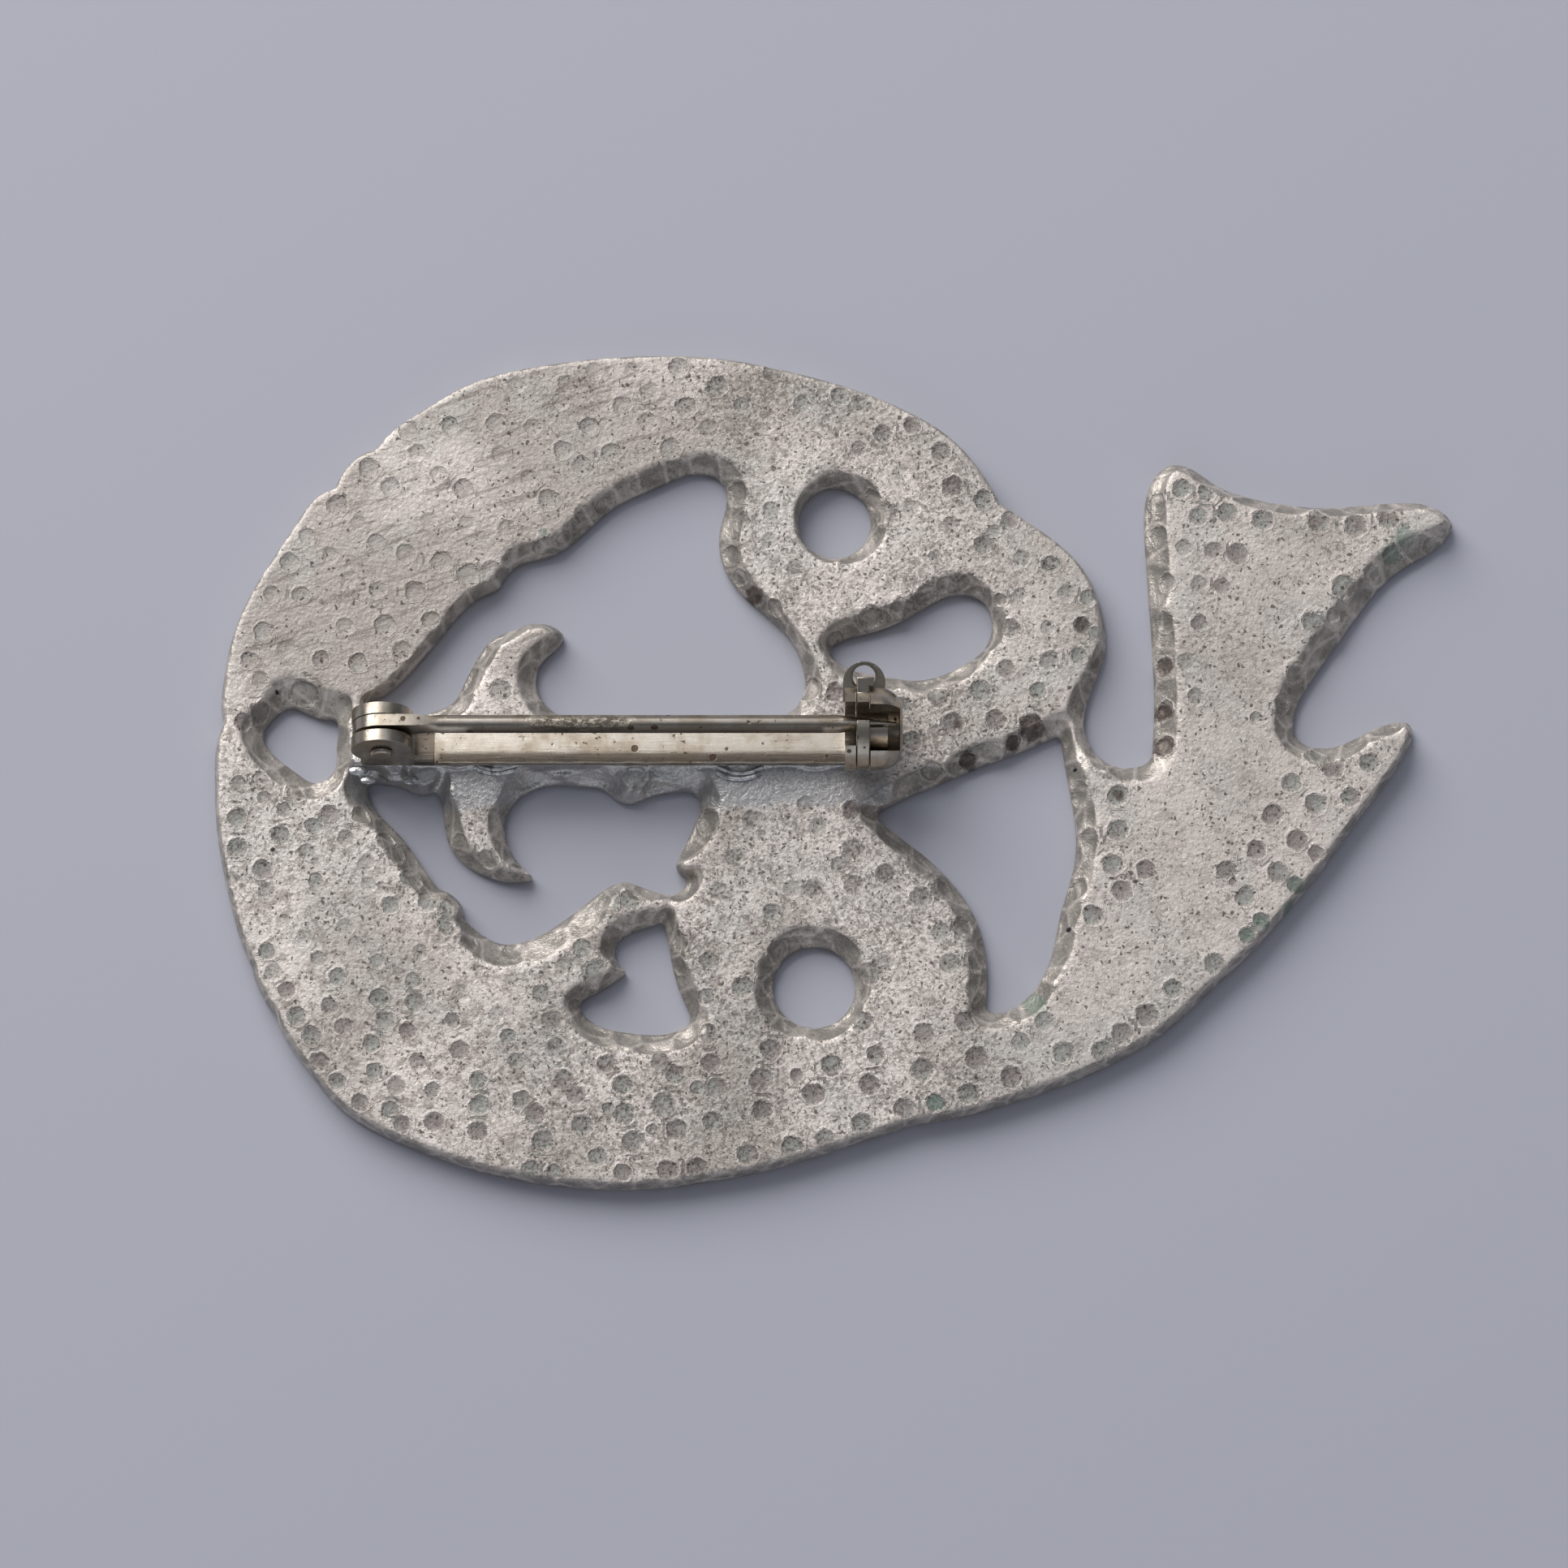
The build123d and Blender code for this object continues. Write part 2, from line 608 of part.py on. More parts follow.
def mouth(x, length, bore, upper_edge, depth):
    """Cuts the catch's mouth: straight up past the pin and slanting on the open side."""
    sine = math.sin(catch_lean)
    cosine = math.cos(catch_lean)
    far = 2.0 * housing_radius
    edges = [
        (upper_edge, 0.0),
        (upper_edge, far),
        (-depth * cosine - far * sine, -depth * sine + far * cosine),
        (-depth * cosine, -depth * sine),
        (0.0, 0.0),
    ]
    with BuildSketch(section_plane(x)) as face:
        with Locations((housing_offset, housing_height)):
            Circle(bore)
        with BuildLine():
            Polyline(*[(housing_offset + v, housing_height + w) for v, w in edges], close=True)
        make_face()
    extrude(face.sketch, amount=length, mode=Mode.SUBTRACT)


# The fixed housing of the catch: a cheek, a domed hollow nose, a saddle and a loop
with BuildPart() as catch_housing:
    nose = disc(nose_left, housing_radius, nose_length)
    rims = catch_housing.edges().filter_by(GeomType.CIRCLE).sort_by(Axis.X)
    fillet(rims[-1], nose_fillet)
    disc(cheek_left, housing_radius, cheek_width)
    with BuildSketch(section_plane(cheek_left)) as saddle:
        with Locations((0.0, strip_thickness + part_gap)):
            Rectangle(bar_width, saddle_height, align=(Align.CENTER, Align.MIN))
    extrude(saddle.sketch, amount=tongue_right - cheek_left)
    with BuildSketch(catch_plane(loop_top - loop_thickness)) as loop:
        with Locations((loop_x, loop_reach)):
            Circle(loop_radius)
        with Locations((loop_x, loop_root)):
            Rectangle(2.0 * loop_radius, loop_reach - loop_root, align=(Align.CENTER, Align.MIN))
        with Locations((loop_x, loop_hole_reach)):
            Circle(loop_hole, mode=Mode.SUBTRACT)
    extrude(loop.sketch, amount=loop_thickness)
    with BuildSketch(catch_plane(loop_top - loop_step)) as step:
        with Locations((loop_x, loop_hole_reach)):
            Circle(loop_step_radius)
    extrude(step.sketch, amount=loop_step + part_gap, mode=Mode.SUBTRACT)
    disc(cheek_right, ring_radius + running_gap, ring_slot, mode=Mode.SUBTRACT)
    disc(nose_left, sleeve_radius + running_gap, nose_length - nose_wall, mode=Mode.SUBTRACT)
    pin_side = eye_offset - housing_offset + wire_radius + part_gap
    mouth(cheek_left, cheek_width, cheek_bore, pin_side, mouth_depth)
    mouth(
        nose_left,
        nose_length - nose_wall,
        sleeve_radius + running_gap,
        pin_side - nose_pin_relief,
        sleeve_radius + running_gap,
    )
catch_housing.part.label = "catch_housing"

# The turning ring of the catch, whose gap stands open over the pin
with BuildPart() as catch_ring:
    disc(cheek_right + running_gap, ring_radius, ring_slot - 2.0 * running_gap)
    disc(nose_left - running_gap, sleeve_radius, sleeve_length)
    with BuildSketch(catch_plane(tab_lift)) as stem:
        with Locations((ring_middle, tab_root)):
            Rectangle(
                ring_slot - 2.0 * running_gap,
                housing_radius + tab_gap - tab_root + part_gap,
                align=(Align.CENTER, Align.MIN),
            )
    extrude(stem.sketch, amount=tab_thickness)
    with BuildSketch(catch_plane(tab_lift)) as tab:
        with Locations((tab_left, housing_radius + tab_gap)):
            Rectangle(tab_width, tab_height, align=(Align.MIN, Align.MIN))
    extrude(tab.sketch, amount=tab_thickness)
    disc(cheek_right, ring_bore, ring_slot + sleeve_length, mode=Mode.SUBTRACT)
    with BuildSketch(section_plane(cheek_right)) as gap:
        with Locations((eye_offset, housing_height)):
            Rectangle(
                2.0 * (wire_radius + ring_gap_side),
                2.0 * ring_radius,
                align=(Align.CENTER, Align.MIN),
            )
    extrude(gap.sketch, amount=ring_slot + sleeve_length, mode=Mode.SUBTRACT)
catch_ring.part.label = "catch_ring"

os.makedirs("parts", exist_ok=True)
for piece in (plate, base_bar, hinge_rivet, pin, catch_housing, catch_ring):
    export_step(piece.part, f"parts/{piece.part.label}.step")
    print(piece.part.label, len(piece.part.solids()), piece.part.is_valid, piece.part.volume)
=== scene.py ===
"""A pierced pewter brooch that lies on its front, so its back and its locking pin are uppermost.

The pin back keeps the shapes of the fixed frame and gets its finish here. The cast plate is dressed
again: its back is struck with round punch marks, its bevels are uneven and its edges are worn.
"""

import logging
import math
from collections.abc import Sequence
from dataclasses import dataclass, field
from enum import Enum
from typing import Any, Union

import bmesh
import bpy
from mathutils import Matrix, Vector


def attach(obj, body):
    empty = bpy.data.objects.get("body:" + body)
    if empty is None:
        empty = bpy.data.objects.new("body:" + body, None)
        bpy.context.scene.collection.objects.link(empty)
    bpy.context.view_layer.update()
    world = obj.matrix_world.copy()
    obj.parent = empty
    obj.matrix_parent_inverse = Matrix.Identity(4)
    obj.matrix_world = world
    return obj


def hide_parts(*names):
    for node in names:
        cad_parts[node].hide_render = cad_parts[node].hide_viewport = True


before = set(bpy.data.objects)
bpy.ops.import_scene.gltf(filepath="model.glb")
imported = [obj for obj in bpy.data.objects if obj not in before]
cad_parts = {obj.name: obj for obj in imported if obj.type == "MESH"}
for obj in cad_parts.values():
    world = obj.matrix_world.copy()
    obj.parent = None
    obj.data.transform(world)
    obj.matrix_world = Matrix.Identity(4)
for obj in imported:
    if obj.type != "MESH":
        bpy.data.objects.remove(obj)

MM = 0.001
WELD_REACH = 0.001 * MM
log = logging.getLogger("brooch")

Colour = tuple[float, float, float, float]
# The value at which a smooth step is 0, and the value at which it is 1.
Step = tuple[float, float]
# A cloudy pattern's scale, its number of finer layers and how strong they are.
Cloud = tuple[float, float, float]
CLOUD_MIDDLE = 0.5


def srgb(red: float, green: float, blue: float) -> Colour:
    """A linear colour from screen values of 0 to 255.

    Args:
        red: The screen's red.
        green: The screen's green.
        blue: The screen's blue.

    Returns:
        The linear colour, fully opaque.
    """
    parts = [value / 255.0 for value in (red, green, blue)]
    linear = [p / 12.92 if p <= 0.04045 else ((p + 0.055) / 1.055) ** 2.4 for p in parts]
    return (*linear, 1.0)


RUBBED_PEWTER = srgb(238, 226, 216)
PIT_BROWN = srgb(74, 65, 59)


class Metal(Enum):
    """The metals of the brooch, by the names of their slots."""

    PEWTER = "pewter"
    NICKEL_SILVER = "nickel_silver"


@dataclass(frozen=True)
class Grain:
    """A cloudy pattern that is cut to a share between two of its values.

    Attributes:
        scale: How fine it is, in clouds to the millimetre.
        detail: How many finer layers it has.
        roughness: How strong the finer layers are.
        low: The value at which the share is 0.
        high: The value at which the share is 1.
    """

    scale: float
    detail: float
    roughness: float
    low: float
    high: float


@dataclass(frozen=True)
class Stretch:
    """A stretch of a value, with soft ends that lie inside it.

    Attributes:
        start: Where it begins.
        stop: Where it ends.
        rise: How long its soft beginning is.
        fall: How long its soft end is.
    """

    start: float
    stop: float
    rise: float
    fall: float


class Wire:
    """One output of a node, with arithmetic that adds Math nodes to its tree."""

    def __init__(self, bench: "NodeBench", socket: bpy.types.NodeSocket) -> None:
        """Keeps the output and the bench that its tree is built on."""
        self.bench = bench
        self.socket = socket

    def __add__(self, other: "Term") -> "Wire":
        """The sum."""
        return self.bench.math("ADD", self, other)

    def __sub__(self, other: "Term") -> "Wire":
        """The difference."""
        return self.bench.math("SUBTRACT", self, other)

    def __rsub__(self, other: "Term") -> "Wire":
        """The difference, with this output taken away."""
        return self.bench.math("SUBTRACT", other, self)

    def __mul__(self, other: "Term") -> "Wire":
        """The product."""
        return self.bench.math("MULTIPLY", self, other)

    def __truediv__(self, other: "Term") -> "Wire":
        """The quotient."""
        return self.bench.math("DIVIDE", self, other)

    def __rtruediv__(self, other: "Term") -> "Wire":
        """The quotient, with this output below."""
        return self.bench.math("DIVIDE", other, self)

    __radd__ = __add__
    __rmul__ = __mul__


Term = Union[Wire, float]


class NodeBench:
    """Builds one node tree."""

    def __init__(self, tree: bpy.types.NodeTree) -> None:
        """Keeps the tree that nodes are added to."""
        self.tree = tree

    def node(
        self,
        kind: str,
        settings: dict[str, Any] | None = None,
        sockets: dict[Any, Any] | None = None,
    ) -> bpy.types.Node:
        """Adds one node.

        Args:
            kind: The node's type.
            settings: The node's own settings, which are set first.
            sockets: Values or outputs for its inputs, by name or number.

        Returns:
            The node.
        """
        made = self.tree.nodes.new(kind)
        for name, value in (settings or {}).items():
            setattr(made, name, value)
        for key, value in (sockets or {}).items():
            if isinstance(value, Wire):
                self.tree.links.new(value.socket, made.inputs[key])
            else:
                made.inputs[key].default_value = value
        return made

    def out(
        self,
        kind: str,
        settings: dict[str, Any] | None = None,
        sockets: dict[Any, Any] | None = None,
        output: Any = 0,
    ) -> Wire:
        """Adds one node and gives one of its outputs.

        Args:
            kind: The node's type.
            settings: The node's own settings.
            sockets: Values or outputs for its inputs.
            output: The output's name or number.

        Returns:
            The output.
        """
        return Wire(self, self.node(kind, settings, sockets).outputs[output])

    def math(self, operation: str, first: Term, second: Term = 0.0) -> Wire:
        """Adds a Math node on two values.

        Args:
            operation: The node's operation.
            first: The first value.
            second: The second value.

        Returns:
            The result.
        """
        kind = "ShaderNodeMath"
        return self.out(kind, {"operation": operation}, {0: first, 1: second})

    def vector(self, operation: str, first: Any, second: Any = None, output: Any = 0) -> Wire:
        """Adds a Vector Math node.

        Args:
            operation: The node's operation.
            first: The first vector.
            second: The second vector, or the factor of a scaling.
            output: The output's name or number.

        Returns:
            The result.
        """
        sockets = {0: first}
        if second is not None:
            sockets["Scale" if operation == "SCALE" else 1] = second
        return self.out("ShaderNodeVectorMath", {"operation": operation}, sockets, output)

    def axis(self, place: Wire, name: str) -> Wire:
        """One coordinate of a place, by the name of its axis."""
        return self.out("ShaderNodeSeparateXYZ", None, {0: place}, name)

    def ease(self, value: Wire, low: float, high: float) -> Wire:
        """A smooth step of a value.

        Args:
            value: The value.
            low: Where the step is 0.
            high: Where the step is 1, which may be the smaller of the two.

        Returns:
            The step.
        """
        sockets = {"Value": value, "From Min": low, "From Max": high}
        settings = {"interpolation_type": "SMOOTHSTEP"}
        if low > high:
            sockets.update({"From Min": high, "From Max": low, "To Min": 1.0, "To Max": 0.0})
        return self.out("ShaderNodeMapRange", settings, sockets, "Result")

    def within(self, value: Wire, stretch: Stretch) -> Wire:
        """How far a value lies within a stretch.

        Args:
            value: The value.
            stretch: The stretch and its soft ends.

        Returns:
            The share.
        """
        risen = self.ease(value, stretch.start, stretch.start + stretch.rise)
        return risen * self.ease(value, stretch.stop, stretch.stop - stretch.fall)

    def blend(self, factor: Term, first: Any, second: Any) -> Wire:
        """Adds a Mix node on two colours.

        Args:
            factor: How much of the second colour shows.
            first: The first colour.
            second: The second colour.

        Returns:
            The mixed colour.
        """
        settings = {"data_type": "RGBA", "blend_type": "MIX", "clamp_factor": True}
        return self.out("ShaderNodeMix", settings, {0: factor, 6: first, 7: second}, 2)

    def noise(self, place: Wire, scale: float, detail: float, roughness: float = 0.5) -> Wire:
        """The value of a cloudy pattern.

        Args:
            place: The point.
            scale: How fine the pattern is, in clouds to the unit of the point.
            detail: How many finer layers it has.
            roughness: How strong the finer layers are.

        Returns:
            The value, which is 0.5 on average.
        """
        sockets = {"Vector": place, "Scale": scale, "Detail": detail, "Roughness": roughness}
        return self.out("ShaderNodeTexNoise", None, sockets, "Fac")

    def grain(self, place: Wire, grain: Grain, shift: Wire | None = None) -> Wire:
        """The share of a cut pattern.

        Args:
            place: The point, in millimetres.
            grain: The pattern and its cut.
            shift: What is added to the pattern's value before the cut.

        Returns:
            The share.
        """
        value = self.noise(place, grain.scale, grain.detail, grain.roughness)
        if shift is not None:
            value = value + shift
        return self.ease(value, grain.low, grain.high)


class MetalBench(NodeBench):
    """Builds the material of one metal.

    Attributes:
        material: The material.
        place: The point that it shades, in millimetres.
    """

    def __init__(self, name: str) -> None:
        """Starts the material.

        Args:
            name: The material's name.
        """
        self.material = bpy.data.materials.new(name)
        self.material.use_nodes = True
        self.material.node_tree.nodes.clear()
        super().__init__(self.material.node_tree)
        spot = self.out("ShaderNodeTexCoord", None, None, "Object")
        self.place = self.vector("SCALE", spot, 1.0 / MM)

    def stored(self, name: str, output: str = "Fac") -> Wire:
        """What is stored on the piece's points under a name, as a number or as a vector."""
        return self.out("ShaderNodeAttribute", {"attribute_name": name}, None, output)

    def cells(self, place: Wire, scale: float) -> tuple[Wire, Wire]:
        """Scattered cells, which spots are made from.

        Args:
            place: The point, in millimetres.
            scale: How fine they are, in cells to the millimetre.

        Returns:
            The distance to the nearest cell's middle, and the colour that it has at random.
        """
        sockets = {"Vector": place, "Scale": scale}
        made = self.node("ShaderNodeTexVoronoi", {"feature": "F1"}, sockets)
        return Wire(self, made.outputs["Distance"]), Wire(self, made.outputs["Color"])

    def finish(
        self, base: Wire, metallic: Term, roughness: Term, height: Wire
    ) -> bpy.types.Material:
        """Ends the material with its shader.

        Args:
            base: The colour.
            metallic: How much it shines as bare metal does.
            roughness: How satin it is.
            height: Its fine relief, in millimetres.

        Returns:
            The material.
        """
        relief = {"Strength": 1.0, "Distance": MM, "Height": height}
        normal = self.out("ShaderNodeBump", None, relief, "Normal")
        sockets = {
            "Base Color": base,
            "Metallic": metallic,
            "Roughness": roughness,
            "Normal": normal,
        }
        shader = self.out("ShaderNodeBsdfPrincipled", None, sockets, "BSDF")
        self.node("ShaderNodeOutputMaterial", None, {"Surface": shader})
        return self.material


class GroupBench(NodeBench):
    """Builds one Geometry Nodes group.

    Attributes:
        given: What the group is given, by the names of its inputs.
    """

    def __init__(self, name: str, inputs: dict[str, str]) -> None:
        """Starts the group, with a geometry as its first input and its output.

        Args:
            name: The group's name.
            inputs: The kind of each further input, by its name.
        """
        super().__init__(bpy.data.node_groups.new(name, "GeometryNodeTree"))
        kinds = {"Geometry": "Geometry", **inputs}
        for label, kind in kinds.items():
            self._socket(label, kind, "INPUT")
        self._socket("Geometry", "Geometry", "OUTPUT")
        start = self.node("NodeGroupInput")
        self.given = {label: Wire(self, start.outputs[label]) for label in kinds}

    def _socket(self, label: str, kind: str, side: str) -> None:
        """Adds one input or output to the group's interface."""
        self.tree.interface.new_socket(name=label, in_out=side, socket_type=f"NodeSocket{kind}")

    def stored(self, name: str, kind: str = "FLOAT") -> Wire:
        """What is stored on the points under a name."""
        return self.out("GeometryNodeInputNamedAttribute", {"data_type": kind}, {"Name": name})

    def finish(self, shape: Wire) -> None:
        """Ends the group with real faces in the given material.

        Args:
            shape: What the group has made.
        """
        real = self.out("GeometryNodeRealizeInstances", None, {0: shape})
        sockets = {0: real, "Material": self.given["Material"]}
        painted = self.out("GeometryNodeSetMaterial", None, sockets)
        self.node("NodeGroupOutput", None, {0: painted})

    def run(self, piece: bpy.types.Object, values: dict[str, Any]) -> None:
        """Runs the group on a piece, which keeps the result as its own mesh.

        Args:
            piece: The piece.
            values: What the inputs are given, by their names.
        """
        modifier = piece.modifiers.new(self.tree.name, "NODES")
        modifier.node_group = self.tree
        for item in self.tree.interface.items_tree:
            if item.item_type == "SOCKET" and item.name in values:
                modifier[item.identifier] = values[item.name]
        bpy.context.view_layer.update()
        settle(piece)


def settle(piece: bpy.types.Object) -> None:
    """Turns what a piece's modifiers make into its own mesh.

    Args:
        piece: The piece.
    """
    shown = piece.evaluated_get(bpy.context.evaluated_depsgraph_get())
    mesh = bpy.data.meshes.new_from_object(shown)
    mesh.name = piece.name
    piece.modifiers.clear()
    piece.data = mesh


def place_object(name: str, data: bpy.types.ID) -> bpy.types.Object:
    """Puts a new object into the scene.

    Args:
        name: Its name.
        data: Its mesh, camera or lamp.

    Returns:
        The object.
    """
    made = bpy.data.objects.new(name, data)
    bpy.context.scene.collection.objects.link(made)
    return made


def frame_top() -> float:
    """The height of the plate's back face, read from the frame.

    Returns:
        The height, which more of its points have than any other.
    """
    heights = [round(v.co.z / MM, 2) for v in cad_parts["plate"].data.vertices]
    return max(set(heights), key=heights.count) * MM


@dataclass(frozen=True)
class PhotoView:
    """How the photograph looks down on the brooch, from its foot edge's side.

    Attributes:
        image_pixels: The photograph's width and height.
        focal_pixels: The lens's focal length in the photograph's pixels.
        sensor_width: The width of the camera's sensor, in millimetres.
        elevation: How steeply it looks down, in degrees.
        distance: How far away it stands.
        target: The place that it looks at.
        nearest: The nearest that it sees.
        farthest: The farthest that it sees.
    """

    image_pixels: float = 1932.0
    focal_pixels: float = 7868.0
    sensor_width: float = 36.0
    elevation: float = 78.0
    distance: float = 374.7 * MM
    target: tuple[float, float, float] = (-3.1 * MM, -0.83 * MM, 0.0)
    nearest: float = 10.0 * MM
    farthest: float = 10.0

    def eye(self) -> Vector:
        """The camera's place.

        Returns:
            The place.
        """
        slope = math.radians(self.elevation)
        back = Vector((0.0, -math.cos(slope), math.sin(slope)))
        return Vector(self.target) + back * self.distance

    def place(self, across: float, down: float, height: float) -> Vector:
        """The place at a height that shows at a pixel of the photograph.

        Args:
            across: The pixel's column.
            down: The pixel's row.
            height: The height of the place, in metres.

        Returns:
            The place.
        """
        slope = math.radians(self.elevation)
        ahead = Vector((0.0, math.cos(slope), -math.sin(slope)))
        up = Vector((0.0, math.sin(slope), math.cos(slope)))
        middle = self.image_pixels / 2.0
        ray = ahead + Vector((1.0, 0.0, 0.0)) * ((across - middle) / self.focal_pixels)
        ray += up * ((middle - down) / self.focal_pixels)
        eye = self.eye()
        return eye + ray * ((height - eye.z) / ray.z)

    def make_camera(self) -> None:
        """Makes the camera and gives it to the scene."""
        lens = bpy.data.cameras.new("camera")
        lens.sensor_width = self.sensor_width
        lens.lens = self.sensor_width * self.focal_pixels / self.image_pixels
        lens.clip_start = self.nearest
        lens.clip_end = self.farthest
        camera = place_object("camera", lens)
        camera.location = self.eye()
        camera.rotation_euler = (math.radians(90.0 - self.elevation), 0.0, 0.0)
        bpy.context.scene.camera = camera


@dataclass(frozen=True)
class MarkWindow:
    """Punch marks charted in one enlarged window of the photograph.

    Attributes:
        left: The pixel column of the window's left edge.
        top: The pixel row of its top edge.
        zoom: How much the window is enlarged.
        marks: Rows of place across, place down, size share and depth share.
    """

    left: float
    top: float
    zoom: float
    marks: tuple[tuple[float, float, float, float], ...]


